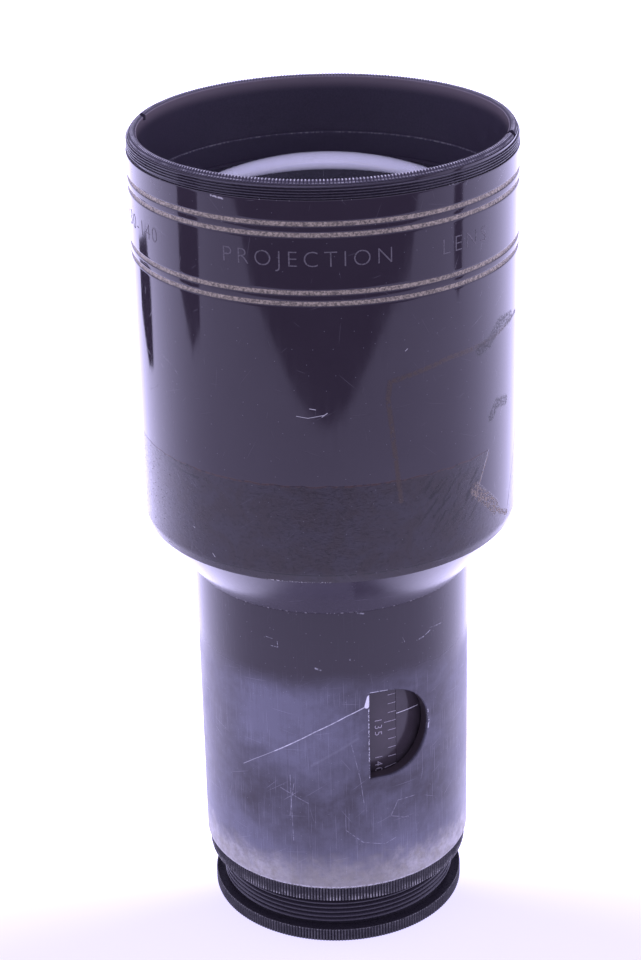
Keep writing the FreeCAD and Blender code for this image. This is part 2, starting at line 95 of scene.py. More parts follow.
# housing
HOUSING_FOOT_R = HOUSING_R - 0.6
CHAMFER_HEIGHT = 2.2
HOUSING_LIP_R = 38.2
THREAD_HEIGHT = 2.9             # the accessory thread at the housing's mouth
FINE_PITCH = 0.58
FINE_START_AZ = -98.0
FINE_DEPTH = 0.35
LACQUER_TOP_Z = HOUSING_Z1 - THREAD_HEIGHT
GROOVE_FROM_TOP = (24.58, 22.25, 10.10, 7.80)
GROOVES = [HOUSING_Z1 - drop for drop in GROOVE_FROM_TOP]
GROOVE_WIDTH = 1.2
GROOVE_DEPTH = 0.25
LETTER_HEIGHT = 3.5
LETTER_Z = (GROOVES[1] + GROOVES[2]) / 2 + 0.55

# front ring
RING_BORE_R = 39.57
RING_CREST_R = (40.35, 40.7)
RING_LIP_Z = RING_TOP_Z - 0.5           # top of the bore
RING_EDGE_Z = RING_TOP_Z - 0.65         # foot of the outer bevel
RING_FLANGE_Z = RING_TOP_Z - 1.05
RING_TEETH = 351
CROWN_DEPTH = 0.26
SLOT_AZ = 47.7
SLOT_WIDTH = 1.8
SLOT_DEPTH = 1.6
TOOTH_DEPTH = 0.3

# front cell and glass
CELL_BORE_R = 39.05
CELL_SEAT_R = 37.4
FRONT_CURVE = 67.5
CEMENT_CURVE = 120.0

# barrel and window
BARREL_BORE_R = 28.25
NUT_R = 27.65
NUT_TOP_Z = 22.0
SPIGOT_R = 30.2
WINDOW_Z = 55.2
WINDOW_R = 11.0
WINDOW_LEFT_X = -7.51
WINDOW_CENTRE_X = -3.48
WINDOW_BEVEL = 0.22

# scale
SEAM_AZ = 1.7
TICK_AZ = -2.6
LONG_TICK_AZ = -4.6
TICK_PITCH = 2.275
TICK_135_Z = 55.9
TICK_WIDTH = 0.13
DIGIT_HEIGHT = 1.85
DIGIT_SPACING = 1.3
DIGIT_ARC_GAP = 0.5
INDEX_Z = 57.4
INDEX_AZ = (2.0, 15.0)

# threads and knurls at the rear
FOCAL_TEETH = 258
FOCAL_FLANGE_Z = 3.1
RELIEF_TOP_Z = 3.3
THREAD_START_AZ = -150.0
THREAD_CREST_R = 27.6
THREAD_DEPTH = 0.65
THREAD_PITCH = 1.2
COUNTERBORE_R = 26.9
COUNTERBORE_Z = 2.2
LOCK_TEETH = 264

SEGMENTS = 360                  # round a plain turned piece
TOOTH_STEPS = 6                 # round one tooth of a knurl
SHARP_ANGLE = math.radians(38)
SUPPORT = 0.3                   # from a rounded corner to the point that keeps a face straight
LONG_FACE = 4.0                 # times that distance, and a face is long
CORNER_SHARE = 0.49             # most of an edge that one rounded corner may take
AXIS_R = 0.02                   # pinhole that is left on the axis of a lens
MARK_DEPTH = 0.015              # how far a painted mark stands out and goes in
LETTER_EDGE = 0.5               # longest edge in lettering before it is bent round
CAPITAL_SHARE = 0.72            # a capital's height, in sizes of the built-in font
RIDGE_INSET = 0.45              # pitches from the end of a thread to its ridge
RIDGE_RUNOUT = 0.12             # turns over which a ridge fades out
RIDGE_SECTION = ((-0.44, -0.25), (-0.44, -0.05), (-0.15, 0.90), (-0.08, 1.0),
                 (0.08, 1.0), (0.15, 0.90), (0.44, -0.05), (0.44, -0.25))


# ---------------------------------------------------------------- mesh helpers
def rounded(corners, steps=4):
    """Closed profile of (radius, height, rounding) corners with each corner rounded.

    A long face gets one more point near each end, which keeps its shading straight.
    """
    points = []
    count = len(corners)
    for i, (r, z, size) in enumerate(corners):
        here = np.array((r, z))
        if size == 0:
            points.append(here)
            continue
        before = np.array(corners[i - 1][:2]) - here
        after = np.array(corners[(i + 1) % count][:2]) - here
        into, out = np.linalg.norm(before), np.linalg.norm(after)
        start = here + before * min(size / into, CORNER_SHARE)
        end = here + after * min(size / out, CORNER_SHARE)
        if into > LONG_FACE * (size + SUPPORT):
            points.append(here + before * (size + SUPPORT) / into)
        for t in np.linspace(0, 1, steps + 1):
            points.append((1 - t) ** 2 * start + 2 * t * (1 - t) * here + t * t * end)
        if out > LONG_FACE * (size + SUPPORT):
            points.append(here + after * (size + SUPPORT) / out)
    return np.array(points)


def loops(values, size):
    """Faces of a grid whose rows all close on themselves and whose last row joins the first."""
    rows = np.arange(values)[:, None]
    columns = np.arange(size)[None, :]
    next_row = (rows + 1) % values
    next_column = (columns + 1) % size
    quads = np.stack([rows * size + columns, next_row * size + columns,
                      next_row * size + next_column, rows * size + next_column], axis=-1)
    return quads.reshape(-1, 4)


def tube(rows, size):
    """Faces of a tube of so many rows, closed at both ends."""
    faces = [tuple(range(size)), tuple(range(rows * size - 1, (rows - 1) * size - 1, -1))]
    for i in range(rows - 1):
        for j in range(size):
            k = (j + 1) % size
            faces.append((i * size + j, (i + 1) * size + j, (i + 1) * size + k, i * size + k))
    return faces


def make(name, vertices, faces):
    """Smooth object from vertices in millimetres, with its sharp edges marked."""
    mesh = bpy.data.meshes.new(name)
    mesh.from_pydata((np.asarray(vertices) * MM).tolist(), [], [list(f) for f in faces])
    return finish_mesh(name, mesh)


def finish_mesh(name, mesh):
    """Object from a mesh, smooth shaded but for its sharp edges."""
    mesh.validate()
    mesh.shade_smooth()
    mesh.set_sharp_from_angle(angle=SHARP_ANGLE)
    obj = bpy.data.objects.new(name, mesh)
    bpy.context.scene.collection.objects.link(obj)
    return obj


def around(azimuth, radius, z):
    """Points at azimuths (radians), radii and heights, as an array of XYZ."""
    azimuth, radius, z = np.broadcast_arrays(azimuth, radius, z)
    return np.stack([radius * np.sin(azimuth), -radius * np.cos(azimuth), z], axis=-1)


def signed_area(profile):
    """Positive when a closed profile runs up its outer side."""
    r, z = profile[:, 0], profile[:, 1]
    return np.sum(r * np.roll(z, -1) - np.roll(r, -1) * z) / 2


def straight_valleys(profile):
    """How far a straight knurl's valleys move a profile's points: the outermost ones inwards."""
    share = np.clip((profile[:, 0] - profile[:, 0].max()) / TOOTH_DEPTH + 1, 0, 1)
    return np.stack([-TOOTH_DEPTH * share, np.zeros(len(profile))], axis=-1)


def crown_valleys(profile):
    """How far the valleys on the front ring's crown move its profile's points: square to it."""
    run = np.roll(profile, -1, axis=0) - np.roll(profile, 1, axis=0)
    inward = np.stack([-run[:, 1], run[:, 0]], axis=-1)
    inward /= np.linalg.norm(inward, axis=1)[:, None]
    share = np.clip((profile[:, 1] - RING_FLANGE_Z - 0.05) / 0.2, 0, 1)
    share *= np.clip((profile[:, 0] - RING_BORE_R - 0.02) / 0.2, 0, 1)
    return CROWN_DEPTH * share[:, None] * inward


def lathe(name, profile, segments=SEGMENTS, teeth=0, valleys=straight_valleys):
    """Closed solid of revolution of a closed profile, with a knurl of so many teeth cut in."""
    profile = np.asarray(profile, float)
    if signed_area(profile) < 0:
        profile = profile[::-1]
    if teeth:
        segments = teeth * TOOTH_STEPS
    azimuth = np.linspace(0, 2 * math.pi, segments, endpoint=False)[:, None]
    radius = profile[None, :, 0]
    height = profile[None, :, 1]
    if teeth:
        phase = (azimuth * teeth / (2 * math.pi)) % 1
        depth = np.abs(2 * phase - 1) ** 1.6
        move = valleys(profile)
        radius = radius + depth * move[None, :, 0]
        height = height + depth * move[None, :, 1]
    vertices = around(azimuth, radius, height).reshape(-1, 3)
    return make(name, vertices, loops(segments, len(profile)))


def ridge(name, root_r, crest_r, pitch, z0, z1, start_az, steps=180):
    """Right-handed thread: one ridge that winds round its core and runs out at both ends."""
    section = np.array(RIDGE_SECTION)
    turns = (z1 - z0) / pitch - 2 * RIDGE_INSET
    count = int(turns * steps) + 1
    turn = np.linspace(0, turns, count)[:, None]
    fade = np.clip(np.minimum(turn, turns - turn) / RIDGE_RUNOUT, 0, 1)
    height = np.where(section[:, 1] > 0, section[:, 1] * fade - 0.05 * (1 - fade), section[:, 1])
    radius = root_r + (crest_r - root_r) * height
    z = z0 + pitch * (RIDGE_INSET + turn + section[None, :, 0])
    azimuth = math.radians(start_az) + turn * 2 * math.pi
    return make(name, around(azimuth, radius, z).reshape(-1, 3), tube(count, len(section)))


def sag(curve, r):
    """Depth of a sphere at a distance r from its vertex."""
    return curve - np.sqrt(curve * curve - r * r)


def dome(vertex_z, curve, edge_r, steps):
    """Profile points of a spherical surface, from axis to rim; a negative curve is hollow."""
    radii = np.linspace(AXIS_R, edge_r, steps)
    depth = sag(abs(curve), radii) * math.copysign(1, curve)
    return [(r, vertex_z - d, 0) for r, d in zip(radii, depth)]


def cut(obj, cutter):
    """Cuts one mesh out of another for good."""
    modifier = obj.modifiers.new("cut", "BOOLEAN")
    modifier.operation = "DIFFERENCE"
    modifier.solver = "EXACT"
    modifier.object = cutter
    graph = bpy.context.evaluated_depsgraph_get()
    mesh = bpy.data.meshes.new_from_object(obj.evaluated_get(graph))
    name = obj.name
    bpy.data.objects.remove(obj)
    bpy.data.objects.remove(cutter)
    return finish_mesh(name, mesh)


def box_cutter(width, y0, y1, z0, z1, azimuth):
    """Box whose long side runs along a radius at an azimuth."""
    corners = [(x, y, z) for x in (-width / 2, width / 2) for y in (-y1, -y0) for z in (z0, z1)]
    turn = Matrix.Rotation(math.radians(azimuth), 3, "Z")
    faces = [(0, 1, 3, 2), (4, 6, 7, 5), (0, 4, 5, 1), (2, 3, 7, 6), (0, 2, 6, 4), (1, 5, 7, 3)]
    return make("cutter", [turn @ Vector(c) for c in corners], faces)


def wrapped(name, mesh, radius, place):
    """Wraps a flat mesh on a cylinder; place turns its x and y into an arc and a height."""
    flat = bmesh.new()
    flat.from_mesh(mesh)
    bmesh.ops.remove_doubles(flat, verts=flat.verts, dist=1e-5)
    for _ in range(2):
        long_edges = [e for e in flat.edges if e.calc_length() > LETTER_EDGE]
        bmesh.ops.subdivide_edges(flat, edges=long_edges, cuts=1)
    bmesh.ops.triangulate(flat, faces=flat.faces)
    for vertex in flat.verts:
        arc, height = place(vertex.co.x, vertex.co.y)
        angle = arc / radius
        r = radius + vertex.co.z
        vertex.co = Vector((r * math.sin(angle), -r * math.cos(angle), height)) * MM
    bmesh.ops.recalc_face_normals(flat, faces=flat.faces)
    out = bpy.data.meshes.new(name)
    flat.to_mesh(out)
    flat.free()
    return finish_mesh(name, out)


def letters(text, height, thin, depth, spacing=1.0):
    """Flat mesh of thin-stroked text, centred, with capitals of the given height."""
    curve = bpy.data.curves.new("letters", "FONT")
    curve.body = text
    curve.align_x = "CENTER"
    curve.align_y = "CENTER"
    curve.space_character = spacing
    curve.size = height / CAPITAL_SHARE
    curve.offset = -thin
    curve.extrude = depth
    curve.resolution_u = 4
    obj = bpy.data.objects.new("letters", curve)
    bpy.context.scene.collection.objects.link(obj)
    graph = bpy.context.evaluated_depsgraph_get()
    mesh = bpy.data.meshes.new_from_object(obj.evaluated_get(graph))
    bpy.data.objects.remove(obj)
    points = np.array([v.co for v in mesh.vertices])
    middle = (points.min(0) + points.max(0)) / 2
    mesh.transform(Matrix.Translation((-middle[0], -middle[1], 0)))
    return mesh


def mark(radius, az0, az1, z, width, rise=0.0):
    """Vertices and faces of a thin bar that lies round a cylinder and rises to the right."""
    steps = max(2, int(abs(az1 - az0)) + 1)
    azimuth = np.radians(np.linspace(az0, az1, steps))[:, None]
    r = radius + MARK_DEPTH * np.array([1, 1, -1, -1])[None, :]
    slope = rise * np.linspace(-1, 0, steps)[:, None]
    height = z + slope + width / 2 * np.array([-1, 1, 1, -1])[None, :]
    return around(azimuth, r, height).reshape(-1, 3), tube(steps, 4)


def joined(name, parts):
    """One object from several (vertices, faces) pairs."""
    vertices = []
    faces = []
    for more_vertices, more_faces in parts:
        start = len(vertices)
        vertices.extend(more_vertices.tolist())
        faces.extend([tuple(start + i for i in face) for face in more_faces])
    return make(name, vertices, faces)


# ---------------------------------------------------------------- material helpers
class Value:
    """Output of a node; arithmetic on it adds Math nodes to its tree."""

    def __init__(self, nodes, socket):
        self.nodes = nodes
        self.socket = socket

    def __add__(self, other):
        return self.nodes.calc("ADD", self, other)

    def __mul__(self, other):
        return self.nodes.calc("MULTIPLY", self, other)

    def __sub__(self, other):
        return self.nodes.calc("SUBTRACT", self, other)

    def __rsub__(self, other):
        return self.nodes.calc("SUBTRACT", other, self)

    def __truediv__(self, other):
        return self.nodes.calc("DIVIDE", self, other)

    def __abs__(self):
        return self.nodes.calc("ABSOLUTE", self)

    __radd__ = __add__
    __rmul__ = __mul__


class Nodes:
    """Short names for making the nodes of one tree."""

    def __init__(self, tree):
        self.tree = tree
        tree.nodes.clear()

    def node(self, kind, inputs=None, **settings):
        node = self.tree.nodes.new(kind)
        for key, value in settings.items():
            setattr(node, key, value)
        for key, value in (inputs or {}).items():
            self.feed(node.inputs[key], value)
        return node

    def value(self, kind, inputs=None, output=0, **settings):
        return Value(self, self.node(kind, inputs, **settings).outputs[output])

    def feed(self, socket, value):
        if isinstance(value, Value):
            self.tree.links.new(value.socket, socket)
        elif isinstance(value, tuple) and socket.type == "RGBA":
            socket.default_value = (*value, 1.0)
        else:
            socket.default_value = value

    def calc(self, operation, a, b=0.0):
        return self.value("ShaderNodeMath", {0: a, 1: b}, operation=operation)

    def vector(self, x, y, z=0.0):
        return self.value("ShaderNodeCombineXYZ", {0: x, 1: y, 2: z})

    def vector_math(self, operation, a, b, output=0):
        return self.value("ShaderNodeVectorMath", {0: a, 1: b}, output, operation=operation)

    def scaled(self, vector, factor):
        return self.value("ShaderNodeVectorMath", {0: vector, "Scale": factor}, operation="SCALE")

    def ramp(self, value, start, end, low_out=0.0, high_out=1.0, kind="LINEAR"):
        """Change from low_out at start to high_out at end."""
        inputs = {"Value": value, "From Min": start, "From Max": end, "To Min": low_out,
                  "To Max": high_out}
        return self.value("ShaderNodeMapRange", inputs, interpolation_type=kind)


class Shader(Nodes):
    """One material: its place on the object, its colour and roughness, and its patterns."""

    def __init__(self, name):
        self.material = bpy.data.materials.new(name)
        self.material.use_nodes = True
        super().__init__(self.material.node_tree)
        place = self.value("ShaderNodeTexCoord", output="Object")
        axes = self.node("ShaderNodeSeparateXYZ", {"Vector": place})
        self.x, self.y, self.height = (Value(self, axes.outputs[i]) * (1 / MM) for i in range(3))
        self.radius = self.calc("SQRT", self.x * self.x + self.y * self.y)
        self.azimuth = self.calc("ARCTAN2", self.x, self.y * -1)
        self.space = self.vector(self.x, self.y, self.height)

    def unroll(self, radius):
        """Sets the arc, and the place on the unrolled cylinder, in millimetres."""
        self.arc = self.azimuth * radius
        self.place = self.vector(self.arc, self.height)

    def turned(self, across, along):
        """Seamless place on the surface: unit circle times across, and height times along."""
        return self.vector(self.calc("SINE", self.azimuth) * across,
                           self.calc("COSINE", self.azimuth) * across, self.height * along)

    def lathed(self, across, along):
        """Place whose noise makes rings, as a lathe does."""
        return self.vector(self.radius * across, self.height * along, 0.0)

    def most(self, *values):
        """Largest of several values."""
        result = values[0]
        for value in values[1:]:
            result = self.calc("MAXIMUM", result, value)
        return result

    def step(self, value, start, end, low_out=0.0, high_out=1.0):
        """Smooth change from low_out at start to high_out at end."""
        return self.ramp(value, start, end, low_out, high_out, "SMOOTHSTEP")

    def near(self, value, centre, far, close):
        """One within close of the centre, and nothing beyond far."""
        return self.step(abs(value - centre), far, close)

    def within(self, value, out_low, in_low, in_high, out_high):
        """One from in_low to in_high, and nothing beyond out_low and out_high."""
        return self.step(value, out_low, in_low) * self.step(value, out_high, in_high)

    def mix(self, factor, a, b):
        """Colour that goes from a to b."""
        return self.value("ShaderNodeMix", {0: factor, 6: a, 7: b}, 2, data_type="RGBA")

    def blend(self, factor, a, b):
        """Number that goes from a to b."""
        return self.value("ShaderNodeMix", {0: factor, 2: a, 3: b})

    def cover(self, share, colour):
        """Covers a share of the surface with a colour."""
        self.colour = self.mix(share, self.colour, colour)

    def roughen(self, share, roughness):
        """Gives a share of the surface a roughness."""
        self.rough = self.blend(share, self.rough, roughness)

    def noise(self, vector, scale, detail=3.0, roughness=0.55, distortion=0.0):
        inputs = {"Vector": vector, "Scale": scale, "Detail": detail, "Roughness": roughness,
                  "Distortion": distortion}
        return self.value("ShaderNodeTexNoise", inputs)

    def flecks(self, vector, scale, start, end, detail=4, roughness=0.7):
        """Patches where a noise passes from start to end."""
        return self.step(self.noise(vector, scale, detail, roughness), start, end)

    def segment(self, place, start, end, half_width, soft):
        """Line between two (arc, height) points."""
        first = Vector((*start, 0))
        run = Vector((*end, 0)) - first
        offset = self.vector_math("SUBTRACT", place, tuple(first))
        dot = self.vector_math("DOT_PRODUCT", offset, tuple(run), "Value")
        share = self.value("ShaderNodeClamp", {0: dot * (1 / run.length_squared)})
        gap = self.vector_math("SUBTRACT", offset, self.scaled(tuple(run), share))
        distance = self.vector_math("LENGTH", gap, (0, 0, 0), "Value")
        return self.step(distance, half_width + soft, half_width)

    def path(self, place, points, half_width, soft):
        """Line through several points."""
        return self.most(*[self.segment(place, a, b, half_width, soft)
                           for a, b in zip(points, points[1:])])

    def lines(self, place, paths):
        """Several lines, each of (points, half width, softness)."""
        return self.most(*[self.path(place, *line) for line in paths])

    def scratches(self, place, cell, length, width, share, turn=0.0, spread=math.pi, shift=0.0):
        """Straight scratches, at most one in each cell of a Voronoi pattern."""
        moved = self.vector_math("ADD", place, (shift, 1.7 * shift, 0))
        scaled = self.scaled(moved, 1 / cell)
        cells = self.node("ShaderNodeTexVoronoi", {"Vector": scaled, "Scale": 1.0},
                          voronoi_dimensions="2D")
        random = self.node("ShaderNodeSeparateColor", {0: Value(self, cells.outputs["Color"])})
        which_way, chance = (Value(self, random.outputs[i]) for i in range(2))
        offset = self.vector_math("SUBTRACT", scaled, Value(self, cells.outputs["Position"]))
        angle = which_way * spread + (turn - spread / 2)
        sine = self.calc("SINE", angle)
        cosine = self.calc("COSINE", angle)
        along = self.vector_math("DOT_PRODUCT", offset, self.vector(cosine, sine), "Value")
        across = self.vector_math("DOT_PRODUCT", offset, self.vector(sine * -1, cosine), "Value")
        half = length / cell / 2
        line = self.step(abs(across), width / cell, 0.2 * width / cell)
        ends = self.step(abs(along), half, 0.3 * half)
        return line * ends * self.calc("LESS_THAN", chance, share)

    def surface(self, colour, roughness, metallic=0.0, bump=None, bump_mm=0.02, **more):
        """Principled surface, with bump given as a height between 0 and 1."""
        inputs = {"Base Color": colour, "Roughness": roughness, "Metallic": metallic}
        inputs.update({key.replace("_", " ").title().replace("Ior", "IOR"): value
                       for key, value in more.items()})
        if bump is not None:
            inputs["Normal"] = self.value("ShaderNodeBump", {
                "Height": bump, "Distance": bump_mm * MM, "Strength": 1.0})
        shader = self.value("ShaderNodeBsdfPrincipled", inputs)
        self.node("ShaderNodeOutputMaterial", {"Surface": shader})
        return self.material


# ---------------------------------------------------------------- colours and single marks
BARE_METAL = (0.56, 0.54, 0.53)
LIGHT = (0.68, 0.64, 1.0)       # violet-tinted white of the lamps
LACQUER = ((0.034, 0.026, 0.035), (0.038, 0.030, 0.039))
TAPE = ((0.030, 0.0215, 0.0235), (0.034, 0.0280, 0.036))
TAPE_FOLD = (0.012, 0.009, 0.011)
TAPE_FIBRE = (0.008, 0.006, 0.007)
TAPE_CRACK = (0.006, 0.005, 0.006)
TAPE_GLUE = ((0.075, 0.042, 0.035), (0.10, 0.066, 0.050))
TAPE_BACKING = (0.30, 0.24, 0.18)
LABEL_GLUE = (0.060, 0.040, 0.030)
LABEL_SMEAR = (0.014, 0.011, 0.011)
OLD_METAL = ((0.095, 0.078, 0.060), (0.44, 0.375, 0.275))
SHOULDER = ((0.043, 0.035, 0.049), (0.050, 0.041, 0.056))
BARREL_BLACK = ((0.034, 0.0265, 0.035), (0.158, 0.156, 0.206))
BARREL_STAIN = ((0.385, 0.362, 0.315), (0.540, 0.520, 0.510))
# painted dark reflection on the bare end, where it faces the camera
PAINTED_DARK_REFLECTION = (0.285, 0.268, 0.240)
GRIME = (0.20, 0.185, 0.17)
BROWN_DYE = ((0.030, 0.021, 0.025), (0.050, 0.037, 0.042))
RING_BLACK = ((0.040, 0.033, 0.050), (0.056, 0.046, 0.068))
RING_BORE_TOP = (0.200, 0.165, 0.180)
KNURL_BLACK = ((0.021, 0.018, 0.024), (0.032, 0.028, 0.036))
THREAD_BLACK = ((0.032, 0.027, 0.037), (0.044, 0.037, 0.050))
CELL_BLACK = ((0.030, 0.024, 0.040), (0.055, 0.044, 0.070))
# pale colour of the bore behind the front glass, painted to stand for the bright crescent seen
# through it
CELL_BORE_PAINTED_PALE = ((0.60, 0.59, 0.60), (0.74, 0.73, 0.75))
SCALE_BLACK = ((0.054, 0.043, 0.050), (0.064, 0.051, 0.060))
STEEL = ((0.30, 0.29, 0.27), (0.50, 0.49, 0.46))

# each line: its points as (arc, height), its half width, and how softly it ends
TAPE_TEARS = (([(-70.5, 121.4), (-65.1, 121.7), (-54.3, 122.0)], 0.14, 0.16),
              ([(-72.1, 120.0), (-61.3, 120.9), (-51.5, 120.2)], 0.18, 0.16))
TAPE_RIGHT = ([(37.6, 122.2), (35.2, 117.6), (31.2, 110.2), (29.4, 103.1)], 0.07, 0.12)
TAPE_LEFT = ([(19.1, 121.6), (16.5, 117.3), (14.4, 113.2)], 0.08, 0.14)
TAPE_LUMPS = (([(14.2, 114.8), (16.6, 112.4), (19.6, 110.0), (22.4, 107.2)], 1.05, 0.8),
              ([(22.4, 107.2), (25.4, 105.2), (28.6, 103.6)], 0.40, 0.5))
LABEL_OUTLINE = ([(-5.6, 117.5), (-8.3, 141.0), (-7.8, 144.7), (6.4, 147.3), (18.0, 147.4),
                  (34.0, 149.0)], 0.24, 0.55)
LABEL_SMEARS = (([(15.5, 146.4), (19.0, 147.0), (23.5, 150.0), (29.6, 149.2)], 0.9, 1.0),
                ([(20.0, 129.6), (22.5, 132.0), (27.0, 131.0)], 0.8, 0.9))
HOUSING_CHIP = ([(-44.6, 183.9), (-41.8, 183.6)], 0.06, 0.22)
HOUSING_KNOCKS = (([(-27.4, 138.2), (-25.0, 137.8), (-21.6, 138.5)], 0.01, 0.10),
                  ([(-24.6, 139.9), (-23.4, 139.7)], 0.02, 0.11),
                  ([(-22.1, 138.1), (-21.0, 138.9)], 0.02, 0.11),
                  ([(-4.4, 151.0), (-3.9, 151.4)], 0.02, 0.09),
                  ([(-53.4, 108.2), (-53.1, 108.0)], 0.03, 0.10),
                  ([(-48.1, 103.4), (-47.5, 102.7)], 0.02, 0.10))
BARREL_KNOT = (([(-28.6, 41.6), (-25.6, 40.2), (-22.0, 38.4)], 0.03, 0.09),
               ([(-25.2, 43.4), (-25.9, 39.0), (-26.4, 34.6)], 0.03, 0.09),
               ([(-27.6, 38.6), (-24.4, 41.2)], 0.02, 0.09),
               ([(-26.1, 45.3), (-26.0, 37.5), (-25.7, 28.0)], 0.035, 0.09),
               ([(-11.9, 53.7), (-10.0, 44.5), (-9.2, 37.6)], 0.02, 0.09),
               ([(-13.6, 31.5), (-9.6, 27.8), (-4.4, 26.4), (-1.6, 27.4)], 0.03, 0.10),
               ([(-2.9, 33.4), (-1.0, 37.2), (3.6, 37.0)], 0.03, 0.10),
               ([(-2.6, 33.4), (1.8, 31.8)], 0.02, 0.09))
LONG_SCRATCH = [(-38.6, 44.8), (-35.4, 47.1), (-29.8, 50.8), (-20.0, 57.2), (-13.0, 61.1),
                (-8.4, 63.2)]
FAINT_SCRATCH = ([(-21.0, 48.4), (-16.8, 51.2), (-10.4, 55.2)], 0.1, 0.35)
BARREL_CHIP = ([(-7.7, 65.4), (-8.3, 63.2)], 0.42, 0.2)
BARREL_KNOCKS = (([(-30.9, 79.8), (-29.3, 79.6)], 0.02, 0.09),
                 ([(-29.8, 77.8), (-28.2, 77.7)], 0.03, 0.09),
                 ([(-28.2, 79.1), (-28.1, 77.7)], 0.03, 0.09),
                 ([(-11.95, 75.4), (-11.85, 75.3)], 0.10, 0.10),
                 ([(-19.6, 73.4), (-18.4, 73.0)], 0.08, 0.2),
                 ([(-10.0, 86.8), (-8.7, 86.5)], 0.10, 0.14),
                 ([(0.4, 78.8), (1.1, 77.4)], 0.02, 0.09),
                 ([(4.4, 76.8), (6.2, 77.0), (8.3, 77.9)], 0.05, 0.14),
                 ([(8.3, 78.6), (10.6, 78.3), (12.5, 78.2)], 0.03, 0.12))
WINDOW_LEFT = ([(-7.85, 44.6), (-7.85, 65.8)], 0.08, 0.12)
WINDOW_TOP = ([(-7.4, 66.5), (-5.0, 66.5), (-3.4, 66.4)], 0.02, 0.12)
WINDOW_RIGHT = ([(7.6, 58.0), (7.9, 55.0), (7.7, 53.0)], 0.04, 0.16)


# ---------------------------------------------------------------- finishes
def housing_lacquer():
    """Thick glossy black lacquer with worn grooves, tape marks, chips and hairlines."""
    s = Shader("glossy_lacquer")
    s.unroll(HOUSING_R)
    fine = s.noise(s.space, 1.6, 5, 0.65)
    s.colour = s.mix(s.flecks(s.space, 0.05, 0.35, 0.75, 4, 0.55), *LACQUER)
    s.rough = s.flecks(s.turned(30, 0.12), 1.0, 0.3, 0.8, 4, 0.6) * 0.05 + 0.055
    relief = tape_band(s, fine)
    label_marks(s)
    engraved = (s.step(s.radius, HOUSING_R - 0.07, HOUSING_R - 0.19)
                * s.within(s.height, GROOVES[0] - 2, GROOVES[0] - 1.5, GROOVES[3] + 1.5,
                           GROOVES[3] + 2)
                * s.step(s.radius, HOUSING_R - 1.2, HOUSING_R - 1.0))
    dirt = s.flecks(s.turned(63, 1.5), 1.3, 0.38, 0.62, 5, 0.75)
    s.cover(engraved, s.mix(dirt, *OLD_METAL))
    s.roughen(engraved, 0.55)
    relief = relief - lacquer_wear(s, fine)
    return s.surface(s.colour, s.rough, 0.0, relief, 0.09, specular_ior_level=0.54)


def tape_band(s, fine):
    """Wide band of tape round the housing's foot, torn off at the right; returns its relief."""
    band_top = LACQUER_TOP_Z - 62.05
    jagged = (s.noise(s.place, 0.8, 4, 0.7) - 0.5) * 1.2
    above_foot = s.height + (s.noise(s.place, 0.35, 3) - 0.5)
    torn_left = s.height * 0.484 + (14.5 - 0.484 * 113.0)
    torn_low = s.arc * -0.681 + (113.0 + 0.681 * 14.5)
    torn_right = s.height * 0.414 + (28.6 - 0.414 * 103.4)
    patch = (s.step(s.arc - torn_left + jagged, -0.15, 0.15)
             * s.step(s.height - torn_low + jagged, -0.15, 0.15)
             * s.step(s.arc - torn_right, 0.1, -0.1))
    band = s.step(above_foot, band_top + 0.10, band_top - 0.10) * (1.0 - patch)

    # the tape itself: stained, folded, torn into fibres at the right and cracked at the left
    paper = s.noise(s.turned(34, 1.1), 1.2, 6, 0.65, 0.6)
    creases = s.noise(s.turned(26, 3.0), 1.0, 4, 0.6, 1.2)
    stain = s.noise(s.place, 0.16, 5, 0.65, 0.8)
    tape = s.mix(s.step(stain, 0.35, 0.65), *TAPE)
    tape = s.mix(s.step(paper, 0.50, 0.66) * 0.55, tape, TAPE_FOLD)
    slant = s.vector((s.arc + s.height) * 0.12, (s.arc - s.height) * 0.75)
    fibres = (s.within(s.arc, -3.5, 2.0, 14.0, 17.5)
              * s.within(s.height, 106.0, 110.0, 119.0, 123.0)
              * s.step(s.noise(slant, 1.0, 5, 0.7, 0.5), 0.50, 0.60))
    tape = s.mix(fibres * 0.75, tape, TAPE_FIBRE)
    dashes = (s.scratches(s.place, 1.7, 1.1, 0.13, 0.75, 0.1, 1.1)
              * s.step(s.arc, -47.0, -53.0) * s.flecks(s.place, 0.22, 0.42, 0.52, 3, 0.55))
    tape = s.mix(dashes * 0.8, tape, TAPE_CRACK)
    s.cover(band, tape)
    s.roughen(band, s.step(paper, 0.35, 0.7, 0.13, 0.22))
    s.roughen(band * s.most(fibres, dashes), 0.5)

    # its edges, and the backing and glue that it left
    top_line = (s.near(above_foot, band_top, 0.30, 0.10) * s.flecks(s.place, 0.7, 0.40, 0.55)
                * s.step(s.arc, 19.5, 18.5))
    s.cover(top_line * 0.7, TAPE_GLUE[0])
    warped = s.vector_math("ADD", s.place, s.vector(0.0, jagged * 1.3))
    foot_line = (s.near(s.height, HOUSING_Z0 + 2.05, 0.20, 0.06)
                 * s.flecks(s.place, 0.5, 0.38, 0.5, 3, 0.55))
    s.cover(s.most(s.lines(warped, TAPE_TEARS), foot_line) * 0.85, TAPE_CRACK)
    s.cover(s.path(s.place, *TAPE_RIGHT) * 0.6, TAPE_GLUE[1])
    lumps = s.lines(warped, TAPE_LUMPS) * s.flecks(s.place, 1.5, 0.46, 0.54, 5)
    backing = s.most(lumps, s.path(s.place, *TAPE_LEFT) * s.step(fine, 0.40, 0.52))
    s.cover(backing * 0.85, TAPE_BACKING)
    s.roughen(backing, 0.7)
    return band * (0.35 + (paper * 0.55 + creases * 0.25)) + (lumps * 0.8 + fine * 0.01)


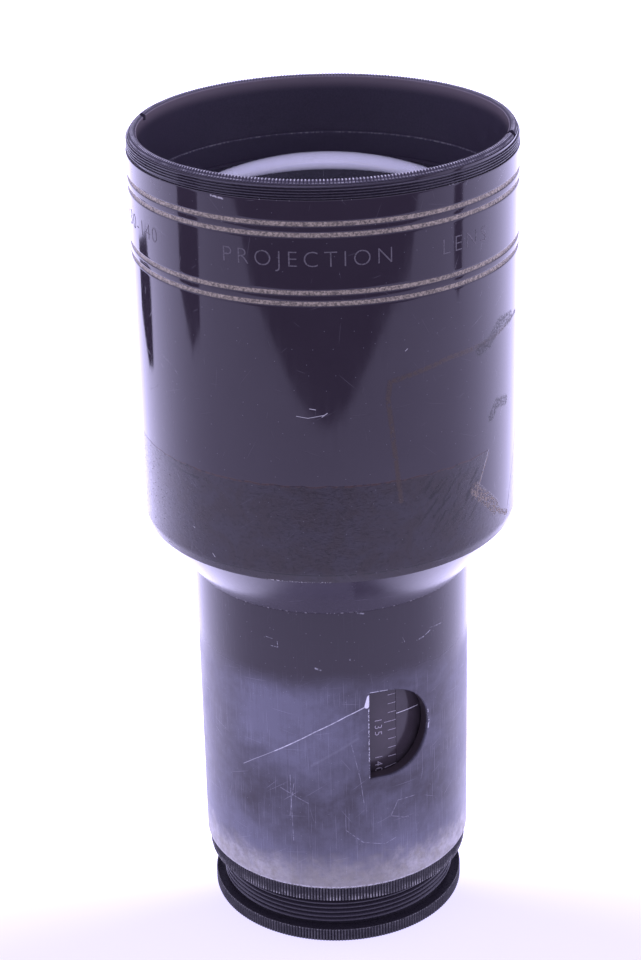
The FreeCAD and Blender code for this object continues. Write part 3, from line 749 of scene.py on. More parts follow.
def label_marks(s):
    """Outline and smears of a label that was taken off the housing."""
    outline = s.path(s.place, *LABEL_OUTLINE) * s.flecks(s.place, 1.3, 0.30, 0.55, 4, 0.6)
    smears = s.lines(s.place, LABEL_SMEARS) * s.flecks(s.place, 1.6, 0.38, 0.54, 5)
    label = (s.within(s.arc, -8.3, -7.4, 45.0, 46.0)
             * s.within(s.height, 122.0, 123.0, 146.5, 149.0))
    s.rough = s.rough + label * s.flecks(s.place, 0.4, 0.3, 0.7, 4, 0.55) * 0.06
    s.cover(outline * 0.9, LABEL_GLUE)
    s.cover(smears * 0.85, LABEL_SMEAR)
    s.roughen(s.most(outline, smears), 0.5)


def lacquer_wear(s, fine):
    """Chips, hairlines and dust on the housing; returns how deep they go."""
    chip = s.path(s.place, *HOUSING_CHIP) * s.step(fine, 0.4, 0.5)
    edge = (s.step(s.height, LACQUER_TOP_Z - 0.22, LACQUER_TOP_Z - 0.05)
            * s.flecks(s.turned(60, 1.0), 1.0, 0.64, 0.70, 3, 0.55)
            * s.step(s.radius, HOUSING_R - 0.4, HOUSING_R - 0.2))
    knocks = s.lines(s.place, HOUSING_KNOCKS)
    specks = (s.step(s.height, HOUSING_Z0 + 0.45, HOUSING_Z0 + 0.15)
              * s.within(s.arc, -36.0, -34.0, -22.0, -20.0)
              * s.flecks(s.place, 2.6, 0.54, 0.60, 3, 0.6))
    hairs = s.most(s.scratches(s.place, 9.0, 6.0, 0.05, 0.5, 0.2, 2.6),
                   s.scratches(s.place, 5.0, 2.2, 0.04, 0.35, 1.4, 3.0, 31.0))
    dust = s.scratches(s.place, 3.2, 0.22, 0.10, 0.30, 0.0, math.pi, 57.0)
    bright = s.most(chip * 0.8, edge * 0.4, knocks * 0.85, specks * 0.9)
    s.cover(hairs * 0.10, (0.35, 0.33, 0.36))
    s.cover(dust * 0.28, (0.5, 0.5, 0.55))
    s.cover(bright, BARE_METAL)
    s.roughen(bright, 0.4)
    return s.most(hairs * 0.1, knocks * 0.5)


def cone_lacquer():
    """Clean, very glossy lacquer of the shoulder."""
    s = Shader("shoulder_lacquer")
    s.unroll(BARREL_R)
    hairs = s.scratches(s.place, 7.0, 4.0, 0.05, 0.4, 0.0, 1.2)
    dust = s.scratches(s.place, 3.0, 0.2, 0.1, 0.3, 0.0, math.pi, 12.0)
    s.colour = s.mix(s.flecks(s.space, 0.07, 0.3, 0.7, 4, 0.55), *SHOULDER)
    s.cover(s.most(hairs, dust) * 0.25, (0.45, 0.44, 0.5))
    rim = (s.step(s.height, CONE_Z0 + 0.5, CONE_Z0 + 0.15)
           * s.flecks(s.turned(50, 1.0), 1.0, 0.55, 0.65, 4, 0.55))
    s.cover(rim * 0.6, BARE_METAL)
    rough = s.noise(s.turned(20, 0.5), 1.0, 4) * 0.06 + 0.13
    return s.surface(s.colour, rough, 0.0, s.noise(s.space, 0.9, 3), 0.006,
                     specular_ior_level=0.55)


def barrel_finish():
    """Satin black, rubbed to a grey haze by a clamping sleeve and bare at its rear end."""
    s = Shader("worn_barrel")
    s.unroll(BARREL_R)
    smudge = s.noise(s.place, 0.35, 5, 0.65)
    grain = s.noise(s.place, 4.0, 4, 0.7)
    upright = s.noise(s.turned(75, 0.10), 1.0, 5, 0.7)
    broken = s.flecks(s.place, 1.1, 0.36, 0.60)
    outside = s.step(s.radius, BARREL_R - 0.9, BARREL_R - 0.6)
    reachable = barrel_haze(s, smudge, grain, upright)
    bare = bare_end(s, smudge, grain, outside)
    hairs = barrel_hairs(s, upright, broken, reachable)
    marks = barrel_marks(s, broken) * outside
    s.cover(marks, (0.86, 0.86, 0.90))
    s.roughen(marks, 0.4)
    s.cover(1.0 - outside, s.mix(grain, *BROWN_DYE))
    relief = grain * 0.08 + smudge * 0.12 - s.most(marks * 0.8, hairs * 0.2)
    return s.surface(s.colour, s.rough, s.most(bare, marks) * 0.35, relief, 0.03,
                     specular_ior_level=0.5)


def barrel_haze(s, smudge, grain, upright):
    """Haze where the sleeve has rubbed; returns the part of the barrel that it reaches."""
    reachable = s.step(s.height + (s.noise(s.place, 0.10, 4, 0.6) - 0.5) * 3.15, 72.4, 65.4)
    patches = s.step(s.noise(s.place, 0.055, 4, 0.58, 0.4), 0.36, 0.64)
    rubbed = (patches * 0.40
              + s.near(s.arc, -27.0, 24.0, 4.0) * s.near(s.height, 58.0, 17.0, 3.0) * 0.50
              + s.step(s.height, 36.0, 24.0) * 0.42
              + s.step(smudge, 0.3, 0.75, 0.08, 0.28))
    haze = (reachable * rubbed * s.step(upright, 0.18, 0.62, 0.80, 1.08)
            * s.step(grain, 0.25, 0.70, 0.82, 1.12))
    s.colour = s.mix(haze, *BARREL_BLACK)
    s.rough = s.blend(reachable, 0.24, s.blend(patches, 0.34, 0.46))
    return reachable


def bare_end(s, smudge, grain, outside):
    """Bare stained metal round the barrel's rear end, with a painted dark reflection where it
    faces the camera; returns where it is.
    """
    edge = s.height + ((smudge - 0.5) * 8.0 + (s.noise(s.place, 0.18, 4) - 0.5) * 5.0)
    bare = (s.step(edge, 26.0, 17.5)
            * s.step(s.noise(s.place, 0.9, 5, 0.6), 0.30, 0.55, 0.75, 1.0) * outside)
    stained = s.mix(s.flecks(s.place, 0.30, 0.36, 0.62, 6), *BARREL_STAIN)
    # painted dark reflection: the bare metal is darker on the side that faces the camera
    stained = s.mix(s.step(abs(s.arc + 15.0), 20.0, 8.0, 0.0, 0.7), stained, PAINTED_DARK_REFLECTION)
    stained = s.mix(s.step(grain, 0.56, 0.64, 0.0, 0.45), stained, GRIME)
    chipped = (s.step(s.height, BARREL_Z0 + 1.0, BARREL_Z0 + 0.35) * outside
               * s.flecks(s.place, 1.3, 0.42, 0.52, 4, 0.65))
    s.cover(bare * 0.9, stained)
    s.cover(chipped * 0.9, (0.66, 0.65, 0.67))
    s.roughen(s.most(bare, chipped), 0.48)
    return bare


def barrel_hairs(s, upright, broken, reachable):
    """Hairlines, upright rubs and dust on the barrel; returns the hairlines."""
    tall = s.vector(s.arc, s.height * 0.25)
    hairs = s.most(s.scratches(tall, 2.6, 2.4, 0.045, 0.55, math.pi / 2, 0.16),
                   s.scratches(tall, 1.6, 1.2, 0.04, 0.45, math.pi / 2, 0.30, 17.0) * 0.8,
                   s.scratches(s.place, 7.0, 5.0, 0.055, 0.45, 0.9, 2.8, 13.0) * 0.9,
                   s.scratches(s.place, 9.0, 8.0, 0.050, 0.40, 0.2, 0.9, 29.0))
    dust = s.scratches(s.place, 2.2, 0.26, 0.11, 0.28, 0.0, math.pi, 71.0)
    level = s.noise(s.turned(1.6, 2.2), 1.0, 5, 0.7)
    streaks = s.step(upright, 0.60, 0.72) * s.step(level, 0.4, 0.6)
    zone = (s.step(s.height, 73.0, 66.0, 0.06, 1.0)
            * s.step(s.noise(s.place, 0.12, 3), 0.36, 0.60, 0.35, 1.0))
    s.cover(hairs * zone * 0.44, (0.46, 0.45, 0.53))
    s.cover(s.lines(s.place, BARREL_KNOT) * broken * 0.42, (0.55, 0.54, 0.62))
    s.cover(streaks * reachable * 0.12, (0.40, 0.39, 0.46))
    s.cover(dust * 0.25, (0.55, 0.55, 0.6))
    return hairs


def barrel_marks(s, broken):
    """The long scratch to the chipped corner of the window, its worn rim, and short knocks."""
    heavier = s.path(s.place, LONG_SCRATCH[2:], 0.06, 0.10) * (0.35 + broken * 0.45)
    knocks = s.lines(s.place, BARREL_KNOCKS) * s.flecks(s.place, 3.0, 0.40, 0.52) * broken
    left = s.path(s.place, *WINDOW_LEFT) * s.flecks(s.place, 1.7, 0.51, 0.57)
    top = s.path(s.place, *WINDOW_TOP) * s.flecks(s.place, 1.2, 0.42, 0.5, 3, 0.6)
    right = s.path(s.place, *WINDOW_RIGHT) * s.flecks(s.place, 1.5, 0.46, 0.54, 3)
    return s.most(s.path(s.place, LONG_SCRATCH, 0.025, 0.10) * 0.34, heavier,
                  s.path(s.place, *FAINT_SCRATCH) * 0.04, s.path(s.place, *BARREL_CHIP),
                  knocks * 0.42, left * 0.8, top * 0.8, right * 0.7)


def crown_finish():
    """Black ring whose crown teeth are bright, partly worn bare metal and partly painted
    highlights, with a painted highlight line along the foot of the outer bevel; its bore is
    lighter towards the top.
    """
    s = Shader("front_ring_black")
    grain = s.noise(s.space, 3.0, 5, 0.7)
    patch = s.noise(s.turned(9, 0.6), 1.0, 4, 0.65)
    phase = s.calc("FRACT", s.azimuth * (RING_TEETH / (2 * math.pi)))
    # bright tooth tips on the crown: partly worn bare metal, partly painted highlight
    worn = (s.step(abs(phase * 2.0 - 1.0), 0.45, 0.20)
            * s.step(s.height, RING_TOP_Z - 0.35, RING_TOP_Z - 0.1)
            * s.step(patch, 0.30, 0.60, 0.45, 1.0) * s.step(grain, 0.28, 0.5))
    # painted highlight line along the foot of the outer bevel
    line = (s.near(s.height, RING_EDGE_Z, 0.14, 0.04)
            * s.step(s.radius, RING_R - 0.3, RING_R - 0.15)
            * s.step(patch, 0.40, 0.60, 0.15, 0.8) * s.step(grain, 0.30, 0.5))
    # bore lighter towards the top
    bore_top_lighter = (s.step(s.radius, RING_BORE_R + 0.3, RING_BORE_R + 0.05)
             * s.step(s.height, RING_LIP_Z - 3.2, RING_LIP_Z - 0.2))
    s.colour = s.mix(s.step(grain, 0.3, 0.7), *RING_BLACK)
    s.cover(bore_top_lighter, RING_BORE_TOP)
    tips = s.most(worn, line * 0.7)
    s.cover(tips, (0.80, 0.78, 0.78))
    rough = s.blend(tips, s.blend(grain, 0.30, 0.42), 0.34)
    return s.surface(s.colour, rough, tips * 0.7, grain, 0.010)


def knurl_finish(name, tip_r, z0, z1, shine, low_side):
    """Black anodising, worn off the tips of a knurl, with painted highlights on the teeth's top
    corners; low_side keeps the bright tips towards the bottom.
    """
    s = Shader(name)
    grain = s.noise(s.space, 3.0, 5, 0.7)
    patch = s.noise(s.turned(9, 0.6), 1.0, 4, 0.65)
    tips = (s.step(s.radius, tip_r - 0.12, tip_r - 0.02) * s.step(grain, 0.30, 0.55)
            * s.step(patch, 0.42, 0.60, 0.15, 1.0)
            * s.blend(low_side, 1.0, s.step(s.height, (z0 + z1) / 2 + 0.3, z0 + 0.5)))
    # painted highlight on the top corner of each tooth
    corner = (s.step(s.height, z1 - 0.30, z1 - 0.10)
              * s.step(s.radius, tip_r - 0.30, tip_r - 0.08) * s.step(grain, 0.42, 0.56))
    tips = s.most(tips * shine, corner * 0.4)
    s.colour = s.mix(s.step(grain, 0.3, 0.7), *KNURL_BLACK)
    s.cover(tips, BARE_METAL)
    rough = s.blend(tips, s.blend(grain, 0.24, 0.32), 0.34)
    return s.surface(s.colour, rough, tips * 0.8, grain, 0.012, specular_ior_level=0.35)


def blackened():
    """Blackened alloy with the fine rings that a lathe leaves."""
    s = Shader("inner_black")
    rings = s.noise(s.lathed(2.0, 2.0), 1.4, 3, 0.6)
    grain = s.noise(s.space, 2.2, 5, 0.7)
    worn = s.flecks(s.space, 0.8, 0.63, 0.72, 5)
    s.colour = s.mix(s.step(grain, 0.3, 0.7), (0.020, 0.016, 0.026), (0.040, 0.032, 0.052))
    s.cover(worn * 0.10, BARE_METAL)
    return s.surface(s.colour, s.blend(rings, 0.36, 0.52), 0.0, rings * 0.6 + grain * 0.3, 0.02)


def thread_finish(name, crest_r, shine):
    """Blackened thread whose crests catch the light where the black is worn."""
    s = Shader(name)
    grain = s.noise(s.space, 2.5, 5, 0.7)
    crest = s.step(s.radius, crest_r - 0.10, crest_r - 0.01) * s.step(grain, 0.35, 0.6) * shine
    s.colour = s.mix(s.step(grain, 0.3, 0.7), *THREAD_BLACK)
    s.cover(crest, BARE_METAL)
    return s.surface(s.colour, s.blend(crest, 0.26, 0.36), crest * 0.7, grain, 0.01)


def cell_finish():
    """Matt black cell with worn dashes on its top edge; behind the glass its bore is painted pale
    and given a painted glow, which stand for the bright crescent seen through the glass.
    """
    s = Shader("front_cell_black")
    grain = s.noise(s.space, 2.0, 5, 0.7)
    rings = s.noise(s.lathed(2.0, 3.0), 1.4, 3)
    edge = (s.step(s.height, CELL_TOP_Z - 0.3, CELL_TOP_Z - 0.1)
            * s.flecks(s.turned(70, 0.0), 1.0, 0.50, 0.56, 3)
            * s.step(s.radius, CELL_BORE_R + 0.35, CELL_BORE_R + 0.15))
    behind = (s.step(s.height, FLINT_Z0 - 1.0, FLINT_Z0 - 1.5)
              * s.step(s.radius, CELL_R - 0.3, CELL_R - 0.6))
    s.colour = s.mix(grain, *CELL_BLACK)
    s.cover(edge * 0.25, BARE_METAL)
    # painted light: behind the glass the bore is painted pale and glows, more strongly deeper
    # down, for the bright crescent
    s.cover(behind, s.mix(grain, *CELL_BORE_PAINTED_PALE))
    glow = behind * s.step(s.height, 158.0, 147.0, 0.06, 0.85)
    return s.surface(s.colour, s.blend(rings, 0.38, 0.55), 0.0, rings, 0.015,
                     emission_color=LIGHT, emission_strength=glow)


def scale_finish():
    """Brown-black satin alloy of the scale strip and the index sleeve."""
    s = Shader("scale_black")
    s.unroll(SCALE_R)
    grain = s.noise(s.space, 3.0, 5, 0.7)
    rings = s.noise(s.lathed(2.0, 2.4), 1.6, 3)
    rubs = s.scratches(s.place, 5.0, 3.5, 0.05, 0.4, 0.2, 1.6)
    s.colour = s.mix(s.flecks(s.space, 0.3, 0.3, 0.7, 4, 0.55), *SCALE_BLACK)
    s.cover(rubs * 0.10, (0.4, 0.38, 0.4))
    return s.surface(s.colour, s.blend(grain, 0.13, 0.19), 0.0, rings * 0.5 + grain * 0.3, 0.006)


def paint_fill(name, colour, wear):
    """Paint in engraved marks, chipped in places."""
    s = Shader(name)
    grain = s.noise(s.space, 2.6, 5, 0.75)
    worn = s.mix(s.step(grain, 0.36, 0.50), tuple(c * wear for c in colour), colour)
    return s.surface(worn, s.blend(grain, 0.5, 0.7), 0.0, grain, 0.02)


def steel():
    """Turned screw steel."""
    s = Shader("screw_steel")
    grain = s.noise(s.space, 4.0, 5, 0.7)
    return s.surface(s.mix(grain, *STEEL), s.blend(grain, 0.25, 0.45), 1.0, grain, 0.01)


def glass(name, tint, haze):
    """Optical glass with a trace of dust on it."""
    s = Shader(name)
    rough = s.flecks(s.space, 3.2, 0.66, 0.76, 5, 0.8) * haze + s.noise(s.space, 0.12, 4) * 0.004
    return s.surface(tint, rough, 0.0, transmission_weight=1.0, ior=1.52)


# ---------------------------------------------------------------- pieces
def place(obj, body, slot, material, *nodes):
    """Gives a piece its finish and its body, and hides the CAD nodes that it stands for; slot is
    not used.
    """
    obj.data.materials.clear()
    obj.data.materials.append(material)
    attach(obj, body)
    if nodes:
        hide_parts(*nodes)
    return obj


def refinish(node, material):
    """New finish on a CAD node that keeps its shape."""
    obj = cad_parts[node]
    for slot in obj.material_slots:
        slot.material = material
    if not obj.material_slots:
        obj.data.materials.append(material)


def front_housing():
    """Housing shell with rounded engraved lines, and the thread round its mouth."""
    corners = [(HOUSING_LIP_R, HOUSING_Z0, 0), (HOUSING_FOOT_R, HOUSING_Z0, 0.2),
               (HOUSING_R, HOUSING_Z0 + CHAMFER_HEIGHT, 0.5)]
    for z in GROOVES:
        corners.append((HOUSING_R, z - GROOVE_WIDTH / 2, 0.14))
        corners.append((HOUSING_R - GROOVE_DEPTH, z - GROOVE_WIDTH / 4, 0.12))
        corners.append((HOUSING_R - GROOVE_DEPTH, z + GROOVE_WIDTH / 4, 0.12))
        corners.append((HOUSING_R, z + GROOVE_WIDTH / 2, 0.14))
    root_r = HOUSING_R - 0.15 - FINE_DEPTH
    corners += [(HOUSING_R, LACQUER_TOP_Z, 0.16), (root_r, LACQUER_TOP_Z, 0.05),
                (root_r, HOUSING_Z1, 0.1), (CELL_R + 0.05, HOUSING_Z1, 0.1),
                (CELL_R + 0.05, HOUSING_FLOOR_Z, 0), (HOUSING_LIP_R, HOUSING_FLOOR_Z, 0)]
    shell = lathe("housing_shell", rounded(corners))
    place(shell, "barrel", "lacquered_alloy", housing_lacquer(), "front_housing")
    thread = ridge("accessory_thread", root_r, HOUSING_R - 0.15, FINE_PITCH,
                   LACQUER_TOP_Z - 0.1, HOUSING_Z1, FINE_START_AZ, 240)
    place(thread, "barrel", "lacquered_alloy",
          thread_finish("accessory_thread_black", HOUSING_R - 0.15, 0.04))


def engraving():
    """Generic words between the engraved lines."""
    fill = paint_fill("engraving_fill", (0.120, 0.106, 0.116), 0.30)
    words = (("PROJECTION", -33.6, 1.34), ("LENS", 15.0, 1.34), ("130-140", -96.0, 1.2),
             ("F 1.7", 62.0, 1.2), ("FOCUS", 150.0, 1.34))
    for text, azimuth, spacing in words:
        arc = math.radians(azimuth) * HOUSING_R
        mesh = letters(text, LETTER_HEIGHT, 0.09, 0.03, spacing)
        name = "engraving_" + text.lower().replace(" ", "_")
        obj = wrapped(name, mesh, HOUSING_R, lambda x, y: (arc + x, LETTER_Z + y))
        place(obj, "barrel", "lacquered_alloy", fill)


def front_ring():
    """Ring with a knurled crown and two spanner slots; its skirt lines the housing's mouth."""
    corners = [(RING_BORE_R, CELL_TOP_Z + 0.05, 0), (CELL_R, CELL_TOP_Z + 0.05, 0),
               (CELL_R, RING_FLANGE_Z, 0), (RING_R, RING_FLANGE_Z, 0.12),
               (RING_R, RING_EDGE_Z, 0.15), (RING_CREST_R[1], RING_TOP_Z, 0.15),
               (RING_CREST_R[0], RING_TOP_Z, 0.15), (RING_BORE_R, RING_LIP_Z, 0.15)]
    ring = lathe("front_ring_knurled", rounded(corners, 3), teeth=RING_TEETH,
                 valleys=crown_valleys)
    for azimuth in (SLOT_AZ, SLOT_AZ + 180):
        cutter = box_cutter(SLOT_WIDTH, RING_BORE_R - 2, RING_R + 2, RING_TOP_Z - SLOT_DEPTH,
                            RING_TOP_Z + 1, azimuth)
        ring = cut(ring, cutter)
    place(ring, "barrel", "knurled_alloy", crown_finish(), "front_ring")


def front_cell():
    """Cell round the front glass."""
    corners = [(38.9, low("front_cell"), 0), (CELL_R, low("front_cell"), 0),
               (CELL_R, CELL_TOP_Z, 0), (CELL_BORE_R, CELL_TOP_Z, 0.12),
               (CELL_BORE_R, FLINT_Z0, 0), (CELL_SEAT_R, FLINT_Z0, 0),
               (CELL_SEAT_R, FLINT_Z0 - 3, 0), (37.9, FLINT_Z0 - 4, 0), (37.9, 139.0, 0),
               (38.9, 139.0, 0)]
    cell = lathe("front_cell_tube", rounded(corners))
    place(cell, "barrel", "blackened_alloy", cell_finish(), "front_cell")


def front_glass():
    """Crown with its steep dome, hollowed underneath for the flint that is cemented to it."""
    top = dome(GLASS_TOP_Z, FRONT_CURVE, GLASS_R - 0.25, 90)
    bottom = dome(CEMENT_Z, -CEMENT_CURVE, GLASS_R, 60)
    rim_z = GLASS_TOP_Z - sag(FRONT_CURVE, GLASS_R)
    crown_points = [(r, z) for r, z, _ in top] + [(GLASS_R, rim_z - 0.2)]
    crown_points += [(r, z) for r, z, _ in reversed(bottom)]
    crown = lathe("front_crown_glass", crown_points, 256)
    place(crown, "barrel", "coated_glass", glass("coated_glass", (0.97, 0.96, 1.0), 0.25),
          "front_crown_lens")


def shoulder():
    """Glossy cone between the barrel and the housing."""
    socket_r = SPIGOT_R + 0.05
    lip_r = HOUSING_LIP_R - 0.05
    corners = [(socket_r, CONE_Z0, 0), (BARREL_R, CONE_Z0, 0.12), (40.7, HOUSING_Z0, 0.12),
               (lip_r, HOUSING_Z0, 0), (lip_r, HOUSING_FLOOR_Z, 0), (34.0, HOUSING_FLOOR_Z, 0),
               (28.4, SPIGOT_TOP_Z + 3.0, 0), (28.4, SPIGOT_TOP_Z + 0.05, 0),
               (socket_r, SPIGOT_TOP_Z + 0.05, 0)]
    cone = lathe("shoulder_cone_shell", rounded(corners))
    place(cone, "barrel", "lacquered_alloy", cone_lacquer(), "shoulder_cone")


def window_outline(grow, steps=28):
    """D-shaped outline, anticlockwise seen from outside the barrel, grown by an amount."""
    left = WINDOW_LEFT_X - grow
    r = WINDOW_R + grow
    points = [(left, WINDOW_Z + r), (left, WINDOW_Z), (left, WINDOW_Z - r)]
    for angle in np.linspace(-math.pi / 2, math.pi / 2, steps):
        points.append((WINDOW_CENTRE_X + r * math.cos(angle), WINDOW_Z + r * math.sin(angle)))
    return np.array(points)


def window_cutter():
    """Prism of the window with a bevel that follows the barrel's surface."""
    rows = ((BARREL_R + 2.0, WINDOW_BEVEL + 2.0), (BARREL_R, WINDOW_BEVEL),
            (BARREL_R - WINDOW_BEVEL, 0.0), (BARREL_BORE_R - 2.5, 0.0))
    vertices = []
    for radius, grow in rows:
        for x, z in window_outline(grow):
            vertices.append((x, -math.sqrt(radius * radius - x * x), z))
    return make("cutter", vertices, tube(len(rows), len(vertices) // len(rows)))


def rear_barrel():
    """Barrel with its bevelled D-shaped window."""
    corners = [(NUT_R, BARREL_Z0, 0.1), (BARREL_R - 0.5, BARREL_Z0, 0.15),
               (BARREL_R, BARREL_Z0 + 0.5, 0.3), (BARREL_R, CONE_Z0, 0), (SPIGOT_R, CONE_Z0, 0),
               (SPIGOT_R, SPIGOT_TOP_Z, 0.2), (BARREL_BORE_R, SPIGOT_TOP_Z, 0.2),
               (BARREL_BORE_R, NUT_TOP_Z, 0), (NUT_R, NUT_TOP_Z, 0)]
    barrel = cut(lathe("barrel_tube", rounded(corners)), window_cutter())
    place(barrel, "barrel", "worn_barrel_alloy", barrel_finish(), "rear_barrel")


def scale():
    """White marks and figures of the fixed scale, and the index line on the sleeve."""
    white = paint_fill("scale_white", (0.50, 0.46, 0.50), 0.35)
    ticks = []
    for number in range(132, 141):
        z = TICK_135_Z - TICK_PITCH * (number - 135)
        start = LONG_TICK_AZ if number % 5 == 0 else TICK_AZ
        rise = 0.45 if number == 140 else 0.0
        ticks.append(mark(SCALE_R, start, SEAM_AZ - 0.1, z, TICK_WIDTH, rise))
    place(joined("scale_ticks", ticks), "barrel", "scale_alloy", white)
    for number, drop in ((135, 1.0), (140, -0.8)):
        z = TICK_135_Z - TICK_PITCH * (number - 135) - drop
        arc = math.radians(LONG_TICK_AZ) * SCALE_R - DIGIT_ARC_GAP - DIGIT_HEIGHT / 2
        mesh = letters(str(number), DIGIT_HEIGHT, 0.035, 0.015, DIGIT_SPACING)
        obj = wrapped(f"scale_{number}", mesh, SCALE_R, lambda x, y: (arc + y, z - x))
        place(obj, "barrel", "scale_alloy", white)
    line = joined("index_line", [mark(SCALE_R, *INDEX_AZ, INDEX_Z, 0.17)])
    place(line, "carriage", "scale_alloy", paint_fill("index_white", (0.85, 0.82, 0.84), 0.6))
    black = scale_finish()
    refinish("scale_key", black)
    refinish("index_sleeve", black)


def focal_ring():
    """Knurled rear flange, threaded tube and its right-handed thread."""
    root_r = THREAD_CREST_R - THREAD_DEPTH
    bore_r = CARRIER_R + 0.05
    corners = [(COUNTERBORE_R, 0, 0.15), (FOCAL_R, 0, 0.25), (FOCAL_R, FOCAL_FLANGE_Z, 0.25),
               (root_r, FOCAL_FLANGE_Z, 0), (root_r, FOCAL_TUBE_Z, 0.15),
               (bore_r, FOCAL_TUBE_Z, 0.1), (bore_r, COUNTERBORE_Z, 0),
               (COUNTERBORE_R, COUNTERBORE_Z, 0)]
    ring = lathe("focal_ring_knurled", rounded(corners, 3), teeth=FOCAL_TEETH)
    finish = knurl_finish("focal_ring_black", FOCAL_R, 0.0, FOCAL_FLANGE_Z, 0.12, 0.0)
    place(ring, "focal_ring", "knurled_alloy", finish, "focal_ring")
    thread = ridge("focal_thread", root_r, THREAD_CREST_R, THREAD_PITCH, RELIEF_TOP_Z,
                   FOCAL_TUBE_Z, THREAD_START_AZ)
    place(thread, "focal_ring", "knurled_alloy",
          thread_finish("focal_thread_black", THREAD_CREST_R, 0.03))


def lock_ring():
    """Knurled ring that is jammed against the barrel's end."""
    corners = [(NUT_R, LOCK_Z0, 0.25), (LOCK_R, LOCK_Z0, 0.2), (LOCK_R, LOCK_Z1, 0.2),
               (NUT_R, LOCK_Z1, 0.2)]
    ring = lathe("lock_ring_knurled", rounded(corners, 3), teeth=LOCK_TEETH)
    finish = knurl_finish("lock_ring_black", LOCK_R, LOCK_Z0, LOCK_Z1, 0.75, 0.85)
    place(ring, "lock_ring", "knurled_alloy", finish, "lock_ring")


def carried_over():
    """Finishes of the CAD nodes that keep their shape."""
    black = blackened()
    for node in ("front_lens_retainer", "baffle_ring", "front_spacer_tube", "second_cell",
                 "second_lens_retainer", "carrier_tube", "rear_spacer_tube",
                 "rear_lens_retainer", "thrust_ring"):
        refinish(node, black)
    metal = steel()
    refinish("scale_key_screws", metal)
    refinish("index_sleeve_screws", metal)
    clear = glass("plain_glass", (0.96, 0.98, 0.97), 0.1)
    for node in ("front_flint_lens", "second_crown_lens", "second_flint_lens",
                 "rear_crown_lens", "rear_flint_lens"):
        refinish(node, clear)
    refinish("rear_field_lens", glass("field_glass", (0.97, 0.96, 1.0), 0.15))


# ---------------------------------------------------------------- studio
CAMERA_AZ = -28.3
CAMERA_DISTANCE = 0.49242
CAMERA_HEIGHT = 0.32848
CAMERA_PITCH = 24.42
CAMERA_YAW = -0.2505
CAMERA_ROLL = -1.3469
CAMERA_LENS = 89.46
TABLE_R = 8.0
TABLE_GLOW_FRONT = 1.05
TABLE_GLOW_BACK = 3.4
TABLE_EDGE_SHADE = 0.72         # towards its front edge the paper is dimmer
ROOM_GLOW_FRONT = 0.7
ROOM_GLOW_BACK = 2.8
SKY_EDGE = (0.16, 0.26)         # past the object, the room is dark above this height
FAR = 4.0
# the dark room past the table's edges: distances towards the camera and to the right
ROOM = {
    "room_front": [(0.359, 0.0), (0.366, 0.055), (0.374, 0.096), (0.381, 0.132), (0.384, 0.171),
                   (0.386, 0.212), (0.378, 0.28), (0.345, 0.385), (0.385, 0.60), (0.400, 1.2),
                   (FAR, 1.2), (FAR, -1.2), (0.405, -1.2), (0.385, -0.42), (0.372, -0.34),
                   (0.380, -0.264), (0.380, -0.193), (0.374, -0.156), (0.369, -0.115),
                   (0.364, -0.066)],
    "room_left": [(0.055, -0.410), (0.105, -0.425), (0.165, -0.62), (0.165, -FAR),
                  (-0.005, -FAR), (-0.005, -0.48)],
    "room_right": [(0.082, 0.46), (0.108, 0.48), (0.128, 0.58), (0.128, FAR), (0.060, FAR),
                   (0.060, 0.49)],
    "room_back_left": [(-0.197, -0.318), (-0.230, -0.291), (-0.314, -0.290), (-0.374, -0.356),
                       (-0.302, -0.441), (-0.240, -0.395)]}
ROOM_Z = 0.0010
ROOM_FRONT_Z = 0.0008


def camera():
    """Camera at the photograph's place: it looks along +Y, is tilted down, then goes round."""
    yaw, pitch, roll = (math.radians(a) for a in (CAMERA_YAW, CAMERA_PITCH, CAMERA_ROLL))
    forward = Vector((math.sin(yaw) * math.cos(pitch), math.cos(yaw) * math.cos(pitch),
                      -math.sin(pitch)))
    right = Vector((math.cos(yaw), -math.sin(yaw), 0))
    up = right.cross(forward)
    side = math.cos(roll) * right + math.sin(roll) * up
    top = math.cos(roll) * up - math.sin(roll) * right
    pose = Matrix((side, top, -forward)).transposed().to_4x4()
    pose.translation = (0, -CAMERA_DISTANCE, CAMERA_HEIGHT)
    data = bpy.data.cameras.new("camera")
    data.lens = CAMERA_LENS
    data.clip_start = 0.01
    data.clip_end = 50
    obj = bpy.data.objects.new("camera", data)
    bpy.context.scene.collection.objects.link(obj)
    obj.matrix_world = Matrix.Rotation(math.radians(CAMERA_AZ), 4, "Z") @ pose
    bpy.context.scene.camera = obj


def facing(forward, sideways):
    """Place on the table, from its distance towards the camera and its distance to the right."""
    angle = math.radians(CAMERA_AZ)
    return (forward * math.sin(angle) + sideways * math.cos(angle),
            -forward * math.cos(angle) + sideways * math.sin(angle))


def table_piece(name, points, z, material, seen=True):
    """Flat piece of the table, or an unseen dark sheet that only reflections show, painting the
    dark room's shade into them.
    """
    mesh = bpy.data.meshes.new(name)
    mesh.from_pydata([(*facing(*point), z) for point in points], [], [tuple(range(len(points)))])
    obj = bpy.data.objects.new(name, mesh)
    bpy.context.scene.collection.objects.link(obj)
    obj.data.materials.append(material)
    obj.visible_camera = seen
    obj.visible_shadow = seen
    obj.visible_diffuse = seen


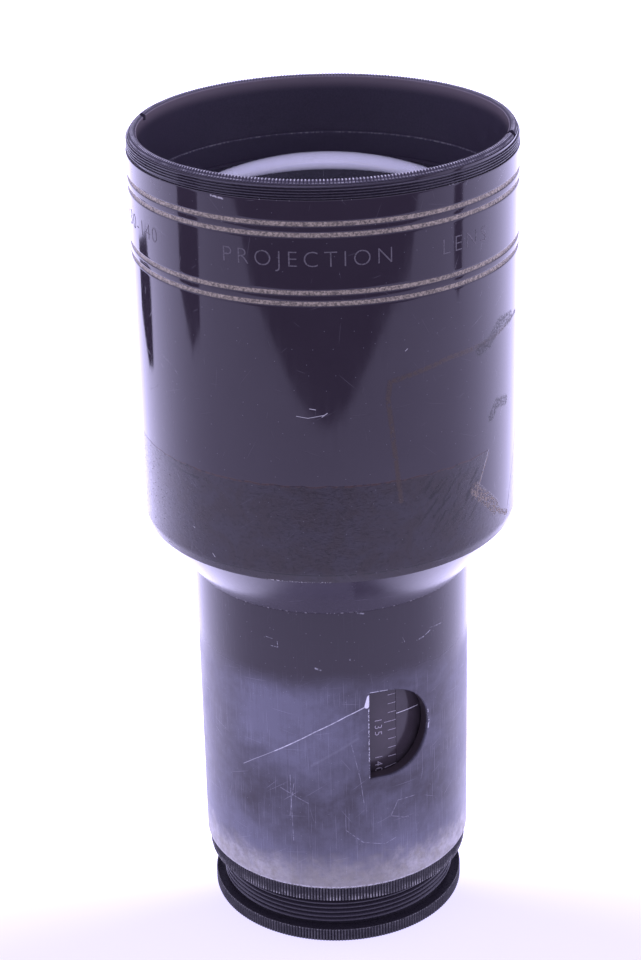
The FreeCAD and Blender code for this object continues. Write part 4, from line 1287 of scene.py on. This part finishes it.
def table_paper():
    """White paper with a painted glow, brightest past the object and dimmer towards its front
    edge, that stands for light from below and behind.
    """
    s = Shader("table_paper")
    towards_camera = facing(1.0, 0.0)
    forward = s.x * towards_camera[0] + s.y * towards_camera[1]
    share = forward / (s.radius + 1.0)
    # painted glow of the paper, which also keeps shadows on it faint
    glow = (s.step(share, 0.45, -0.95, TABLE_GLOW_FRONT, TABLE_GLOW_BACK)
            * s.step(forward, 120.0, 400.0, 1.0, TABLE_EDGE_SHADE))
    colour = s.mix(s.noise(s.space, 0.02, 4), (0.30, 0.285, 0.30), (0.32, 0.305, 0.32))
    return s.surface(colour, 0.9, 0.0, emission_color=LIGHT, emission_strength=glow,
                     specular_ior_level=0.0)


def dark_cloth():
    """Painted shade: dark sheets for the dark room past the edge of the white table."""
    s = Shader("dark_cloth")
    colour = s.mix(s.noise(s.space, 0.4, 3), (0.008, 0.008, 0.010), (0.014, 0.014, 0.016))
    return s.surface(colour, 1.0, 0.0, specular_ior_level=0.0)


def surround():
    """Soft light from all round, brightest past the object up to a dark patch above it."""
    world = bpy.data.worlds.new("studio")
    bpy.context.scene.world = world
    world.use_nodes = True
    n = Nodes(world.node_tree)
    direction = n.value("ShaderNodeTexCoord", output="Generated")
    towards = n.vector_math("DOT_PRODUCT", direction, (*facing(1.0, 0.0), 0), "Value")
    upwards = n.value("ShaderNodeSeparateXYZ", {0: direction}, 2)
    dark = n.ramp(towards, -0.35, -0.55) * n.ramp(upwards, *SKY_EDGE)
    glow = n.ramp(towards, -0.9, 0.9, ROOM_GLOW_BACK, ROOM_GLOW_FRONT) * (1.0 - dark)
    background = n.value("ShaderNodeBackground", {"Color": LIGHT, "Strength": glow})
    n.node("ShaderNodeOutputWorld", {"Surface": background})
    bpy.context.scene.view_settings.view_transform = "Standard"


def studio():
    """White table with the dark room past its edges, and a soft bright surround."""
    angles = np.linspace(0, 2 * math.pi, 72, endpoint=False)
    table_piece("table", [(TABLE_R * math.cos(a), TABLE_R * math.sin(a)) for a in angles],
                0.0, table_paper())
    dark = dark_cloth()
    # unseen dark sheets paint the dark room's shade into reflections
    for name, points in ROOM.items():
        table_piece(name, points, ROOM_FRONT_Z if name == "room_front" else ROOM_Z, dark, False)
    surround()


camera()
front_housing()
engraving()
front_ring()
front_cell()
front_glass()
shoulder()
rear_barrel()
scale()
focal_ring()
lock_ring()
carried_over()
studio()
